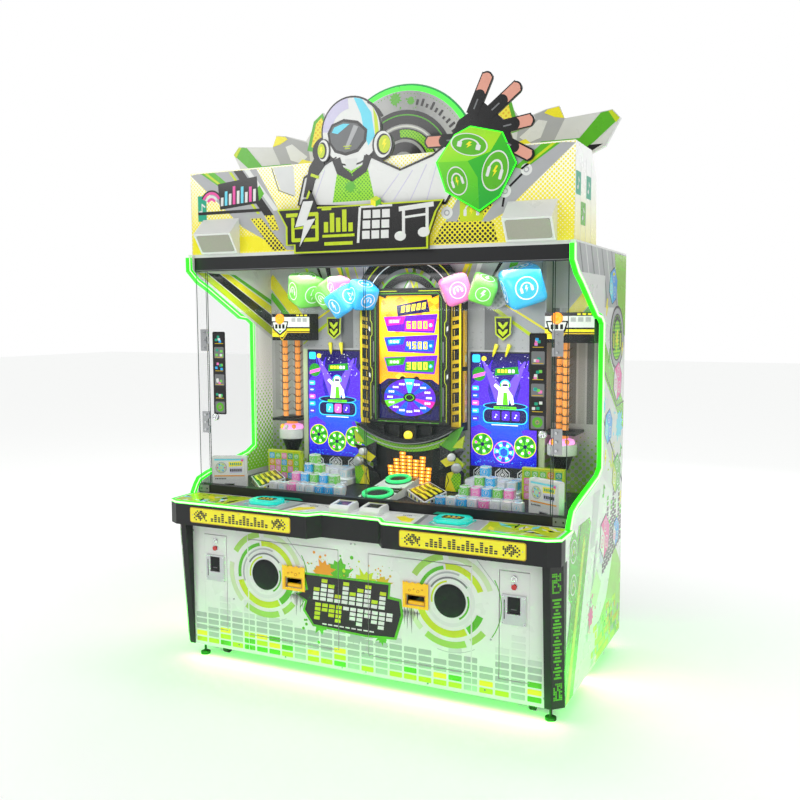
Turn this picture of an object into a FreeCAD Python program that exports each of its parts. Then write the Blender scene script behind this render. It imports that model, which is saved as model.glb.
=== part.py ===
import FreeCAD, Part
import math
import os
import random
from FreeCAD import Vector

# Two-player music cube pusher cabinet. Millimetres, +Z up, the players stand on the -Y side.
# Origin: centre of the footprint, on the floor.

# ---- overall sizes ----
CAB_W = 1900.0          # over the side panels
DEPTH = 1163.0          # front of the fascia to the back of the rear panel
CAB_TOP = 1963.0        # top of the roof board
CAB_Z0 = 80.0           # underside of the cabinet, on feet and casters
DECK_Z = 800.0          # top of the control deck
MARQUEE_H = 388.0
WING_SPAN = 2030.0
TOPPER_H = 807.0         # from the roof to the top of the disc
TOPPER_TOP = CAB_TOP + TOPPER_H

# ---- board and sheet thicknesses ----
SIDE_T = 20.0
BOARD_T = 18.0
GLASS_T = 8.0
WINDOW_T = 6.0
SHEET_T = 3.0
SIGN_T = 10.0

# ---- depth stations ----
FRONT_Y = -DEPTH / 2
REAR_Y = DEPTH / 2
PANEL_Y = FRONT_Y + 86.5        # face of the lower front panel
GLASS_Y = FRONT_Y + 215.5       # face of the glass
WALL_Y = GLASS_Y + 556.0        # face of the back wall between the towers
ALCOVE_Y = WALL_Y + 105.0       # face of the back wall behind the towers
POST_BACK_Y = PANEL_Y + 45.0
INNER_REAR_Y = REAR_Y - BOARD_T

# ---- widths and heights ----
HALF_W = CAB_W / 2
INNER_X = HALF_W - SIDE_T
POST_X = HALF_W - 73.0
FASCIA_Z0 = DECK_Z - 113.0
FASCIA_X = HALF_W + 5.0
FASCIA_CHAMFER_X = 50.0
FASCIA_CHAMFER_Y = 29.0
RECESS_X = 142.0
RECESS_OUT_X = 186.0
RECESS_DEPTH = 57.0
FASCIA_WALL = 15.0
STRIP_LED = 14.0                # depth of the light strip round the deck
DECK_T = 13.0
DECK_UNDER = DECK_Z - DECK_T
RAIL_H = 42.0
RAIL_TOP = DECK_Z + RAIL_H
RAIL_D = 34.0
BEAM_H = 65.0
BEAM_D = 30.0
ROOF_T = 15.0
ROOF_Z0 = CAB_TOP - ROOF_T
BEAM_Z0 = ROOF_Z0 - BEAM_H
NEON_W = 24.0
GAP = 3.0                       # joint line round each door
HINGE_GAP = 0.5                 # the same on its hinge side

# ---- glass doors ----
STRIP_W = 62.0
DOOR_EDGE_X = INNER_X - WINDOW_T - 2.0 - STRIP_W
DOOR_GAP = 2.0
HINGE_PIN_R = 5.0
HINGE_PIN_Y = GLASS_Y - 6.5
LEAF_T = 4.0
KNUCKLE_PLAY = 0.3
PANE_PLAY = 0.6
KNOB_X, KNOB_Z, KNOB_R, KNOB_PROUD = 820.0, DECK_Z + 379.0, 16.0, 14.0
HINGE_H = 105.0
HINGE_W = 35.0
HINGE_Z = (DECK_Z + 352.0, DECK_Z + 752.0)

# ---- lower front ----
MAIN_X0, MAIN_X1 = 74.0, 560.0
MAIN_Z0, MAIN_Z1 = 169.0, 631.0
MOUTH_X, MOUTH_Z, MOUTH_W, MOUTH_H = 306.0, 471.0, 96.0, 84.0
MOUTH_RIM = 8.0
SPEAKER_X, SPEAKER_Z, SPEAKER_R = 463.0, 470.0, 68.0
GRILLE_HOLE_R = 5.0
GRILLE_RINGS = 3
COIN_X0, COIN_X1 = 680.0, 811.0
COIN_X = (COIN_X0 + COIN_X1) / 2
BEZEL_W, BEZEL_Z0, BEZEL_Z1, BEZEL_T = 103.0, 408.0, 533.0, 6.0
FLAP_W, FLAP_Z0, FLAP_Z1, FLAP_T = 49.0, 461.0, 521.0, 3.0
FLAP_PIN_Z = FLAP_Z1 + 1.5
PIN_PLAY = 0.05
CUP_DEPTH = 62.0
CUP_CLEAR = 3.0
REJECT_R, REJECT_Z, REJECT_PROUD, REJECT_TRAVEL = 11.0, 566.0, 9.0, 6.0
LOCK_R, LOCK_Z, LOCK_PROUD = 11.0, 600.0, 5.0

# ---- control deck ----
STATION_X = 466.0
BUTTON_W, BUTTON_D, BUTTON_H = 150.0, 122.0, 22.0
BUTTON_TRAVEL = 6.0
STEM_R, STEM_PLAY = 17.0, 0.3
BUTTON_CHAMFER = 26.0
BUTTON_Y = FRONT_Y + 111.0
BUTTON_FRAME = 7.0
POD_X, POD_W, POD_D, POD_H = 76.0, 96.0, 104.0, 36.0
POD_Y = GLASS_Y - 70.0

# ---- play field ----
TABLE_TOP = DECK_Z + 15.0
TABLE_FRONT = GLASS_Y + RAIL_D
TABLE_BACK = WALL_Y + 230.0
DROP_X0, DROP_X1, DROP_D = 150.0, 640.0, 58.0
PUSHER_X0, PUSHER_X1 = 300.0, 592.0
PUSHER_H, PUSHER_LIFT = 29.0, 1.0
PUSHER_FRONT = WALL_Y - 185.0
PUSHER_LENGTH = 375.0
PUSHER_TRAVEL = 80.0
CUBE = 45.0
CUBE_GAP = 7.0
CUBE_PITCH = CUBE + CUBE_GAP
CUBE_ROUND = 7.0
RAMP_X, RAMP_SLOPE = 80.0, 7.4
FIELD_X = 442.5                 # middle of each player's field
COVER = ((-357.0, 251.0), (-194.0, 86.0), (-161.0, 271.0), (-308.0, 404.0))
PILE_X, PILE_W = 52.5, 420.0
RING_HOLE_R = 52.0
RACK_X0, RACK_X1, RACK_H, RACK_T = 600.0, 800.0, 150.0, 30.0
RACK_Y = WALL_Y - 145.0
READER_W, READER_H, READER_T = 172.0, 161.0, 34.0
READER_ANGLE = 27.0

# ---- screens and centre column ----
SCREEN_W, SCREEN_H, SCREEN_T = 342.0, 585.0, 44.0
SIDE_SCREEN_X = 461.0
SIDE_SCREEN_Z0 = TABLE_TOP + 90.0
SCREEN_PROUD = 9.0
WALL_X = 665.0
COLUMN_FACE = WALL_Y - 85.0
COLUMN_X, COLUMN_LOW_X = 274.0, 205.0
CENTRE_SCREEN_H, CENTRE_SCREEN_Z0 = 620.0, 1150.0
FRAME_X, FRAME_Z0, FRAME_Z1, FRAME_T, FRAME_CHAMFER = 220.0, 1137.0, 1800.0, 22.0, 42.0
HOPPER_HALF, HOPPER_SAG, HOPPER_BAND, HOPPER_D = 253.0, 75.0, 24.0, 62.0
HOPPER_TOP = FRAME_Z0 - 9.0

# ---- towers ----
SIGN_W, SIGN_D, SIGN_Z0, SIGN_Z1 = 228.0, 90.0, 1540.0, 1678.0
TUBE_R = 14.0
TUBES = ((INNER_X - 163.0, ALCOVE_Y - 121.0), (INNER_X - 208.0, ALCOVE_Y - 68.0))
TOWER_X = (TUBES[0][0] + TUBES[1][0]) / 2
SIGN_X0 = (-TOWER_X - 48.5, TOWER_X - 57.5)
STAND_Z = 1112.0
DRUM_R, DRUM_Z0, DRUM_Z1, FUNNEL_Z0 = 68.0, 1012.0, 1064.0, 940.0

# ---- top box ----
MARQUEE_X = HALF_W - 10.0
MARQUEE_D, MARQUEE_TOP_D, MARQUEE_SLOPE = 361.0, 258.0, 94.0
MARQUEE_T = 12.0
HORN_X0, HORN_X1, HORN_H, HORN_TOP_D, HORN_LOW_D = 662.0, 870.0, 164.0, 80.0, 20.0
MARQUEE_TOP = CAB_TOP + MARQUEE_H
TOPPER_Y = GLASS_Y + 456.0
TOPPER_T = 24.0
DISC_X, DISC_R = -20.0, 385.0

# ---- wheels and feet ----
WHEEL_R, WHEEL_W, WHEEL_X, AXLE_R, AXLE_PLAY = 29.0, 24.0, 788.0, 5.0, 0.05
WHEEL_LIFT = 1.0
WHEEL_YS = (PANEL_Y + 140.0, REAR_Y - 100.0)
FOOT_X, FOOT_R, FOOT_BASE = HALF_W - 70.0, 24.0, 12.0
FOOT_YS = (PANEL_Y + 80.0, REAR_Y - 45.0)

# ---- frame and rear ----
TUBE = 40.0
REAR_DOOR_X, REAR_DOOR_Z0, REAR_DOOR_Z1 = 350.0, 160.0, 1400.0
INLET_X, INLET_Z, INLET_W, INLET_H = 620.0, 240.0, 60.0, 50.0

X_AXIS, Y_AXIS, Z_AXIS = Vector(1, 0, 0), Vector(0, 1, 0), Vector(0, 0, 1)


# ---- helpers ----
def box(x0, x1, y0, y1, z0, z1):
    return Part.makeBox(x1 - x0, y1 - y0, z1 - z0, Vector(x0, y0, z0))


def face_of(corners):
    return Part.Face(Part.makePolygon(corners + corners[:1]))


def prism_x(points, x0, x1):
    """Outline of (y, z) points, extruded from x0 to x1."""
    return face_of([Vector(x0, y, z) for y, z in points]).extrude(Vector(x1 - x0, 0, 0))


def prism_y(points, y0, y1):
    """Outline of (x, z) points, extruded from y0 to y1."""
    return face_of([Vector(x, y0, z) for x, z in points]).extrude(Vector(0, y1 - y0, 0))


def prism_z(points, z0, z1):
    """Outline of (x, y) points, extruded from z0 to z1."""
    return face_of([Vector(x, y, z0) for x, y in points]).extrude(Vector(0, 0, z1 - z0))


def rod(radius, length, start, axis):
    return Part.makeCylinder(radius, length, Vector(*start), axis)


def mirrored(shape):
    return shape.mirror(Vector(0, 0, 0), X_AXIS)


def both(shape):
    """The right-hand piece and its mirror image."""
    return [shape, mirrored(shape)]


def fuse(shapes):
    return shapes[0].multiFuse(shapes[1:]).removeSplitter()


def turned(shape, degrees, centre, axis=Z_AXIS):
    return shape.rotated(Vector(*centre), axis, degrees)


def offset_line(points, distance):
    """An open line moved sideways, to the left of its direction, with mitred corners."""
    moved = []
    for index, (a, b) in enumerate(points):
        normals = []
        for first in (index - 1, index):
            if 0 <= first < len(points) - 1:
                da = points[first + 1][0] - points[first][0]
                db = points[first + 1][1] - points[first][1]
                length = math.hypot(da, db)
                normals.append((-db / length, da / length))
        na = sum(n[0] for n in normals) / len(normals)
        nb = sum(n[1] for n in normals) / len(normals)
        scale = distance / (na * na + nb * nb)
        moved.append((a + na * scale, b + nb * scale))
    return moved


def solids_of(shapes):
    return [solid for shape in shapes for solid in shape.Solids]


def save(name, shapes):
    if not isinstance(shapes, list):
        shapes = [shapes]
    solids = solids_of(shapes)
    for solid in solids:
        if not solid.isValid():
            print("INVALID", name)
    result = solids[0] if len(solids) == 1 else Part.makeCompound(solids)
    result.exportStep("parts/" + name + ".step")


# ---- outlines that several parts share ----
def waist_line():
    """Middle of the light strip down the front edge of a side panel, as (y, z), bottom to top."""
    low = [(-38, 0), (-38, 5), (-16, 39), (7, 64), (77, 82), (426, 139), (491, 169)]
    high = [(491, 331), (447, 305), (378, 297), (116, 161), (35, 125), (-29, 76), (-30, 15)]
    points = [(GLASS_Y + y, DECK_Z + z) for y, z in low]
    return points + [(GLASS_Y + y, CAB_TOP - z) for y, z in high]


def fascia_front():
    """Front of the deck and fascia, seen from above, left to right."""
    right = [
        (RECESS_X, FRONT_Y + RECESS_DEPTH),
        (RECESS_OUT_X, FRONT_Y),
        (FASCIA_X - FASCIA_CHAMFER_X, FRONT_Y),
        (FASCIA_X, FRONT_Y + FASCIA_CHAMFER_Y),
    ]
    left = [(-x, y) for x, y in reversed(right)]
    return left + right


def deck_end_y():
    """Where the deck's side edges stop, at the foot of the side light strips."""
    return GLASS_Y - 38 + NEON_W / 2


# ---- structure ----
def base_frame():
    y0, y1 = POST_BACK_Y, INNER_REAR_Y
    z0, z1 = CAB_Z0, CAB_Z0 + TUBE
    rails = [box(-INNER_X, INNER_X, y, y + TUBE, z0, z1) for y in (y0, y1 - TUBE)]
    for x in (-INNER_X, -WHEEL_X - TUBE / 2 + 20, -TUBE / 2, WHEEL_X - TUBE / 2 - 20, INNER_X - TUBE):
        rails.append(box(x, x + TUBE, y0, y1, z0, z1))
    return fuse(rails)


def floor_board():
    return box(-INNER_X, INNER_X, POST_BACK_Y, INNER_REAR_Y, CAB_Z0 + TUBE, CAB_Z0 + TUBE + BOARD_T)


def side_panel():
    edge = offset_line(waist_line(), -NEON_W / 2)
    outline = [
        (POST_BACK_Y, CAB_Z0),
        (POST_BACK_Y, FASCIA_Z0),
        (PANEL_Y, FASCIA_Z0),
        (PANEL_Y, DECK_UNDER),
        (edge[0][0], DECK_UNDER),
    ]
    outline += edge
    outline += [(edge[-1][0], CAB_TOP), (REAR_Y, CAB_TOP), (REAR_Y, CAB_Z0)]
    return prism_x(outline, INNER_X, HALF_W)


def light_strips():
    line = waist_line()
    back = offset_line(line, -NEON_W / 2)
    front = offset_line(line, NEON_W / 2)
    side = prism_x(front + back[::-1], INNER_X + 2, HALF_W)
    outer = fascia_front()
    end = deck_end_y()
    outer = [(-FASCIA_X, end)] + outer + [(FASCIA_X, end)]
    inner = offset_line(outer, STRIP_LED)
    deck_strip = prism_z(outer + inner[::-1], DECK_UNDER, DECK_Z)
    return both(side) + [deck_strip]


def rear_panel():
    panel = box(-INNER_X, INNER_X, INNER_REAR_Y, REAR_Y, CAB_Z0, ROOF_Z0)
    panel = panel.cut(box(-REAR_DOOR_X, REAR_DOOR_X, INNER_REAR_Y, REAR_Y, REAR_DOOR_Z0, REAR_DOOR_Z1))
    panel = panel.cut(box(INLET_X, INLET_X + INLET_W, INNER_REAR_Y, REAR_Y, INLET_Z, INLET_Z + INLET_H))
    slots = []
    for row in range(6):
        z = REAR_DOOR_Z1 + 120 + row * 40
        slots += both(box(120, 420, INNER_REAR_Y, REAR_Y, z, z + 12))
    return panel.cut(Part.makeCompound(slots))


def rear_door():
    door = box(-REAR_DOOR_X + GAP, REAR_DOOR_X - HINGE_GAP, INNER_REAR_Y, REAR_Y, REAR_DOOR_Z0 + GAP, REAR_DOOR_Z1 - GAP)
    slots = []
    for row in range(8):
        z = REAR_DOOR_Z0 + 120 + row * 40
        slots.append(box(-220, 220, INNER_REAR_Y, REAR_Y, z, z + 12))
    return door.cut(Part.makeCompound(slots))


def roof_board():
    return box(-INNER_X, INNER_X, GLASS_Y, REAR_Y, ROOF_Z0, CAB_TOP)


def front_panel():
    panel = box(-POST_X, POST_X, PANEL_Y, PANEL_Y + BOARD_T, CAB_Z0, FASCIA_Z0)
    for side in (-1, 1):
        for x0, x1 in ((MAIN_X0, MAIN_X1), (COIN_X0, COIN_X1)):
            a, b = sorted((side * x0, side * x1))
            panel = panel.cut(box(a, b, PANEL_Y, PANEL_Y + BOARD_T, MAIN_Z0, MAIN_Z1))
    return panel


def corner_post():
    """Wedge post: it stands further forward at the top than at the bottom."""
    wires = []
    for z, y in ((CAB_Z0, PANEL_Y - 5), (FASCIA_Z0, PANEL_Y - 54)):
        corners = [
            Vector(POST_X, POST_BACK_Y, z),
            Vector(POST_X, y, z),
            Vector(HALF_W - 45, y, z),
            Vector(HALF_W, y + 45, z),
            Vector(HALF_W, POST_BACK_Y, z),
        ]
        wires.append(Part.makePolygon(corners + corners[:1]))
    return Part.makeLoft(wires, True, True)


def fascia():
    outer = fascia_front()
    body = prism_z([(-FASCIA_X, PANEL_Y)] + outer + [(FASCIA_X, PANEL_Y)], FASCIA_Z0, DECK_UNDER)
    inner = offset_line([(-FASCIA_X, PANEL_Y)] + outer + [(FASCIA_X, PANEL_Y)], FASCIA_WALL)
    return body.cut(prism_z(inner, FASCIA_Z0 + FASCIA_WALL, DECK_UNDER))


def deck_openings():
    """Through holes in the deck for the buttons' stems and the pods' cables."""
    holes = []
    for x in (-STATION_X, STATION_X):
        holes.append(rod(STEM_R + STEM_PLAY, DECK_T, (x, BUTTON_Y, DECK_UNDER), Z_AXIS))
    for x in (-POD_X, POD_X):
        holes.append(rod(12, DECK_T, (x, POD_Y, DECK_UNDER), Z_AXIS))
    return holes


def control_deck():
    end = deck_end_y()
    outer = [(-FASCIA_X, end)] + fascia_front() + [(FASCIA_X, end)]
    inner = offset_line(outer, STRIP_LED)
    back = GLASS_Y + RAIL_D
    corners = inner + [(INNER_X, end), (INNER_X, back), (-INNER_X, back), (-INNER_X, end)]
    return prism_z(corners, DECK_UNDER, DECK_Z).cut(Part.makeCompound(deck_openings()))


def chamfered_block(x, y, w, d, chamfer, z0, z1):
    corners = []
    for sx, sy in ((-1, -1), (1, -1), (1, 1), (-1, 1)):
        near_x = (x + sx * (w / 2 - chamfer), y + sy * d / 2)
        near_y = (x + sx * w / 2, y + sy * (d / 2 - chamfer))
        corners += [near_y, near_x] if sx == sy else [near_x, near_y]
    return prism_z(corners, z0, z1)


def player_button(x):
    """Big square cap with cut corners, on a round stem through the deck."""
    z0 = DECK_Z + BUTTON_TRAVEL + 1
    cap = chamfered_block(x, BUTTON_Y, BUTTON_W, BUTTON_D, BUTTON_CHAMFER, z0, DECK_Z + BUTTON_H)
    stem = rod(STEM_R, z0 - DECK_UNDER + 8, (x, BUTTON_Y, DECK_UNDER - 8), Z_AXIS)
    return fuse([cap, stem])


def button_base(x):
    w, d = BUTTON_W + 2 * BUTTON_FRAME, BUTTON_D + 2 * BUTTON_FRAME
    base = chamfered_block(x, BUTTON_Y, w, d, BUTTON_CHAMFER + 3, DECK_Z, DECK_Z + 5)
    inner = chamfered_block(x, BUTTON_Y, BUTTON_W + 2, BUTTON_D + 2, BUTTON_CHAMFER, DECK_Z, DECK_Z + 5)
    return base.cut(inner)


def coin_pod(x):
    """Small desk housing with a sloping window."""
    y0, y1 = POD_Y - POD_D / 2, POD_Y + POD_D / 2
    z0, z1 = DECK_Z, DECK_Z + POD_H
    side = [(y0, z0), (y0, z0 + 14), (y0 + 14, z1 - 8), (y1 - 12, z1), (y1, z0 + 22), (y1, z0)]
    body = prism_x(side, x - POD_W / 2, x + POD_W / 2)
    window = prism_x([(y0 + 22, z1 - 14), (y0 + 22, z1), (y1 - 20, z1 + 4), (y1 - 20, z1 - 8)],
                     x - POD_W / 2 + 14, x + POD_W / 2 - 14)
    return body.cut(window)


def deck_fittings():
    return [button_base(x) for x in (-STATION_X, STATION_X)] + [coin_pod(x) for x in (-POD_X, POD_X)]


def bottom_rail():
    rail = box(-INNER_X, INNER_X, GLASS_Y - 4, GLASS_Y + RAIL_D, DECK_Z, RAIL_TOP)
    cap = box(INNER_X - 64, INNER_X - 4, GLASS_Y - 8, GLASS_Y - 4, DECK_Z + 3, RAIL_TOP)
    return [rail] + both(cap)


def top_beam():
    return box(-INNER_X, INNER_X, GLASS_Y, GLASS_Y + BEAM_D, BEAM_Z0, ROOF_Z0)


# ---- glass ----
def fixed_glass():
    strip = box(DOOR_EDGE_X + DOOR_GAP, DOOR_EDGE_X + STRIP_W, GLASS_Y, GLASS_Y + GLASS_T, RAIL_TOP, BEAM_Z0)
    line = offset_line(waist_line(), -NEON_W / 2 - 15)
    ahead = GLASS_Y - 200
    cut_out = prism_x([(ahead, line[0][1])] + line + [(ahead, line[-1][1])], INNER_X - WINDOW_T, INNER_X)
    pane = box(INNER_X - WINDOW_T, INNER_X, GLASS_Y, WALL_Y, RAIL_TOP, BEAM_Z0).common(cut_out)
    return both(strip) + both(pane)


def hinge_leaf(x0, x1, z0, z1, knuckles):
    """Flat leaf on the face of the glass, from x0 to x1, with its knuckles round the pin line."""
    pieces = [box(x0, x1, GLASS_Y - LEAF_T, GLASS_Y, z0, z1)]
    reach = sorted((DOOR_EDGE_X, x0 if x0 > DOOR_EDGE_X else x1))
    for low, high in knuckles:
        pieces.append(box(reach[0], reach[1], GLASS_Y - LEAF_T, GLASS_Y - 1, low, high))
        pieces.append(rod(HINGE_PIN_R, high - low, (DOOR_EDGE_X, HINGE_PIN_Y, low), Z_AXIS))
    return fuse(pieces)


def glass_door():
    """Pane with a leaf for each hinge and a lock knob."""
    z0, z1 = RAIL_TOP + PANE_PLAY, BEAM_Z0 - PANE_PLAY
    x1 = DOOR_EDGE_X - DOOR_GAP
    pieces = [box(DOOR_GAP, x1, GLASS_Y, GLASS_Y + GLASS_T, z0, z1)]
    for z in HINGE_Z:
        half = HINGE_H / 6 - KNUCKLE_PLAY
        pieces.append(hinge_leaf(x1 - 16, x1 - 4, z - half, z + half, [(z - half, z + half)]))
    pieces.append(rod(KNOB_R, KNOB_PROUD, (KNOB_X, GLASS_Y - KNOB_PROUD, KNOB_Z), Y_AXIS))
    return fuse(pieces)


def hinge_plates():
    plates = []
    for z in HINGE_Z:
        x0 = DOOR_EDGE_X + 6
        ends = [(z - HINGE_H / 2, z - HINGE_H / 6), (z + HINGE_H / 6, z + HINGE_H / 2)]
        plates += both(hinge_leaf(x0, x0 + HINGE_W, z - HINGE_H / 2, z + HINGE_H / 2, ends))
    return plates


# ---- doors in the lower front ----
def grille_holes(x, z, y0, y1):
    holes = [rod(GRILLE_HOLE_R, y1 - y0, (x, y0, z), Y_AXIS)]
    for ring in range(1, GRILLE_RINGS + 1):
        for step in range(6 * ring):
            angle = 2 * math.pi * step / (6 * ring)
            radius = ring * (SPEAKER_R - 12) / GRILLE_RINGS
            at = (x + radius * math.cos(angle), y0, z + radius * math.sin(angle))
            holes.append(rod(GRILLE_HOLE_R, y1 - y0, at, Y_AXIS))
    return holes


def main_door():
    y0, y1 = PANEL_Y, PANEL_Y + BOARD_T
    door = box(MAIN_X0 + GAP, MAIN_X1 - HINGE_GAP, y0, y1, MAIN_Z0 + GAP, MAIN_Z1 - GAP)
    x0, z0 = MOUTH_X - MOUTH_W / 2, MOUTH_Z - MOUTH_H / 2
    rim = box(x0 - MOUTH_RIM, x0 + MOUTH_W + MOUTH_RIM, y0 - 6, y0, z0 - MOUTH_RIM, z0 + MOUTH_H + MOUTH_RIM)
    door = fuse([door, rim])
    door = door.cut(box(x0, x0 + MOUTH_W, y0 - 6, y1, z0, z0 + MOUTH_H))
    return door.cut(Part.makeCompound(grille_holes(SPEAKER_X, SPEAKER_Z, y0, y1)))


def flap_cup(extra):
    """The coin return cup behind the bezel, larger all round by extra."""
    half = FLAP_W / 2 + CUP_CLEAR + extra
    y1 = PANEL_Y - BEZEL_T + CUP_DEPTH + extra
    return box(COIN_X - half, COIN_X + half, PANEL_Y - BEZEL_T, y1, FLAP_Z0 - 8 - extra, FLAP_Z1 + 4 + extra)


def coin_door():
    y0, y1 = PANEL_Y, PANEL_Y + BOARD_T
    door = box(COIN_X0 + GAP, COIN_X1 - HINGE_GAP, y0, y1, MAIN_Z0 + GAP, MAIN_Z1 - GAP)
    door = door.cut(flap_cup(SHEET_T))
    door = door.cut(rod(REJECT_R + 0.5, BOARD_T, (COIN_X, y0, REJECT_Z), Y_AXIS))
    lock = rod(LOCK_R, LOCK_PROUD, (COIN_X, y0 - LOCK_PROUD, LOCK_Z), Y_AXIS)
    return fuse([door, lock])


def coin_bezel():
    plate = box(COIN_X - BEZEL_W / 2, COIN_X + BEZEL_W / 2, PANEL_Y - BEZEL_T, PANEL_Y, BEZEL_Z0, BEZEL_Z1)
    bezel = fuse([plate, flap_cup(SHEET_T)]).cut(flap_cup(0))
    slot = box(COIN_X + 38, COIN_X + 41, PANEL_Y - BEZEL_T, PANEL_Y, FLAP_Z0 + 10, FLAP_Z0 + 44)
    half = FLAP_W / 2 + CUP_CLEAR + SHEET_T - 0.6
    at = (COIN_X - half, PANEL_Y - BEZEL_T + 1 + FLAP_T / 2, FLAP_PIN_Z)
    return bezel.cut(slot).cut(rod(FLAP_T / 2 + PIN_PLAY, 2 * half, at, X_AXIS))


def coin_flap():
    """Plate hung on a thin pin whose ends turn in the cup's side walls."""
    y0 = PANEL_Y - BEZEL_T + 1
    plate = box(COIN_X - FLAP_W / 2, COIN_X + FLAP_W / 2, y0, y0 + FLAP_T, FLAP_Z0, FLAP_PIN_Z + FLAP_T / 2)
    half = FLAP_W / 2 + CUP_CLEAR + SHEET_T - 1
    return fuse([plate, rod(FLAP_T / 2, 2 * half, (COIN_X - half, y0 + FLAP_T / 2, FLAP_PIN_Z), X_AXIS)])


def reject_button():
    length = REJECT_PROUD + BOARD_T + 2
    button = rod(REJECT_R, length, (COIN_X, PANEL_Y - REJECT_PROUD, REJECT_Z), Y_AXIS)
    return button


# ---- play field ----
def playfield_table():
    table = box(-INNER_X, INNER_X, TABLE_FRONT, TABLE_BACK, TABLE_TOP - BOARD_T, TABLE_TOP)
    drop = box(DROP_X0, DROP_X1, TABLE_FRONT, TABLE_FRONT + DROP_D, TABLE_TOP - BOARD_T, TABLE_TOP)
    return table.cut(Part.makeCompound(both(drop)))


def pusher():
    """Sliding shelf with a thin lip, carried on the table by four pads."""
    z0 = TABLE_TOP + PUSHER_LIFT
    tray = box(PUSHER_X0, PUSHER_X1, PUSHER_FRONT, PUSHER_FRONT + PUSHER_LENGTH, z0, TABLE_TOP + PUSHER_H)
    hollow = box(PUSHER_X0 + 12, PUSHER_X1 - 12, PUSHER_FRONT + 12, PUSHER_FRONT + PUSHER_LENGTH - 12,
                 z0, TABLE_TOP + PUSHER_H - 12)
    pads = []
    for x in (PUSHER_X0 + 2, PUSHER_X1 - 12):
        for y in (PUSHER_FRONT + 30, PUSHER_FRONT + PUSHER_LENGTH - 60):
            pads.append(box(x, x + 10, y, y + 30, TABLE_TOP + 0.4, z0))
    return fuse([tray.cut(hollow)] + pads)


def riding_cubes():
    """Rows of cubes that lie on the pusher and travel with it."""
    solids = []
    columns = int((PUSHER_X1 - PUSHER_X0) // CUBE_PITCH)
    x_mid = (PUSHER_X0 + PUSHER_X1) / 2
    for row in range(3):
        for column in range(columns):
            x = x_mid + (column - (columns - 1) / 2) * CUBE_PITCH
            y = WALL_Y - 32 - row * CUBE_PITCH
            solids.append(loose_cube(x, y, TABLE_TOP + PUSHER_H, 5 * math.sin(7 * row + 3 * column)))
    return solids


def pusher_motor():
    """Gear motor with its crank disc, on the table behind the pusher."""
    x = (PUSHER_X0 + PUSHER_X1) / 2
    y = PUSHER_FRONT + PUSHER_LENGTH + 22
    gearbox = box(x - 35, x + 35, y, y + 60, TABLE_TOP, TABLE_TOP + 60)
    motor = rod(28, 70, (x + 35, y + 30, TABLE_TOP + 30), X_AXIS)
    shaft = rod(6, 12, (x, y + 30, TABLE_TOP + 60), Z_AXIS)
    disc = rod(30, 8, (x, y + 30, TABLE_TOP + 68), Z_AXIS)
    return fuse([gearbox, motor, shaft, disc])


def ramp_top_z(y):
    return TABLE_TOP + 14 + (y - TABLE_FRONT) * math.tan(math.radians(RAMP_SLOPE))


def deck_islands():
    """Centre ramp with two ring holes, and a slatted chute cover left of each player's field."""
    y0, y1 = TABLE_FRONT + 2, COLUMN_FACE - HOPPER_D
    side = [(y0, TABLE_TOP), (y0, ramp_top_z(y0)), (y1, ramp_top_z(y1)), (y1, TABLE_TOP)]
    ramp = prism_x(side, -RAMP_X, RAMP_X)
    for y in (GLASS_Y + 115, GLASS_Y + 338):
        ramp = ramp.cut(rod(RING_HOLE_R, 200, (0, y, TABLE_TOP + 12), Z_AXIS))
    covers = []
    low, high = GLASS_Y + min(y for x, y in COVER), GLASS_Y + max(y for x, y in COVER)
    slope = [(low - 1, TABLE_TOP), (low - 1, TABLE_TOP + 16), (high + 1, TABLE_TOP + 48), (high + 1, TABLE_TOP)]
    for middle in (-FIELD_X, FIELD_X):
        plan = [(middle + x, GLASS_Y + y) for x, y in COVER]
        block = prism_z(plan, TABLE_TOP, TABLE_TOP + 60)
        covers.append(block.common(prism_x(slope, -INNER_X, INNER_X)))
    return [ramp] + covers


def cube_rack():
    """Board with a grid of shallow pockets for sample cubes."""
    z1 = TABLE_TOP + RACK_H
    board = box(RACK_X0, RACK_X1, RACK_Y, RACK_Y + RACK_T, TABLE_TOP, z1)
    pitch = (RACK_X1 - RACK_X0 - 14) / 5
    pockets = []
    for column in range(5):
        for row in range(4):
            x = RACK_X0 + 7 + column * pitch
            z = z1 - 10 - (row + 1) * (pitch - 3)
            pockets.append(box(x + 3, x + pitch - 3, RACK_Y, RACK_Y + 8, z + 3, z + pitch - 6))
    return board.cut(Part.makeCompound(pockets))


def reader_box():
    """Code reader that stands behind the corner of the glass, turned towards the middle."""
    x0 = INNER_X - 203
    y0 = GLASS_Y + 112
    body = box(x0, x0 + READER_W, y0, y0 + READER_T, TABLE_TOP, TABLE_TOP + READER_H)
    body = body.makeChamfer(5, [e for e in body.Edges if abs(e.BoundBox.YLength - READER_T) < 0.01])
    return turned(body, -READER_ANGLE, (x0, y0, 0))


def cube_layout(side):
    """Middles, base heights and turns of the cubes in one player's pile."""
    spots = []
    draw = random.Random(11 if side < 0 else 23)
    x_mid, y_front = side * FIELD_X + PILE_X, TABLE_FRONT + DROP_D + 34
    for row in range(3):
        count = int(PILE_W // CUBE_PITCH) - row
        for column in range(count):
            x = x_mid + (column - (count - 1) / 2) * CUBE_PITCH
            if row > 0 and column == 0:
                continue
            spots.append((x, y_front + row * CUBE_PITCH, 0, draw.uniform(-6, 6)))
    for column in range(5):
        spots.append((x_mid + (column - 1.6) * CUBE_PITCH, y_front + CUBE_PITCH, 1, draw.uniform(-6, 6)))
    for column in range(2):
        spots.append((x_mid + (column - 0.4) * CUBE_PITCH, y_front + 1.4 * CUBE_PITCH, 2, draw.uniform(-5, 5)))
    spots.append((x_mid + 0.1 * CUBE_PITCH, y_front + 1.4 * CUBE_PITCH, 3, draw.uniform(-5, 5)))
    return spots


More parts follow.
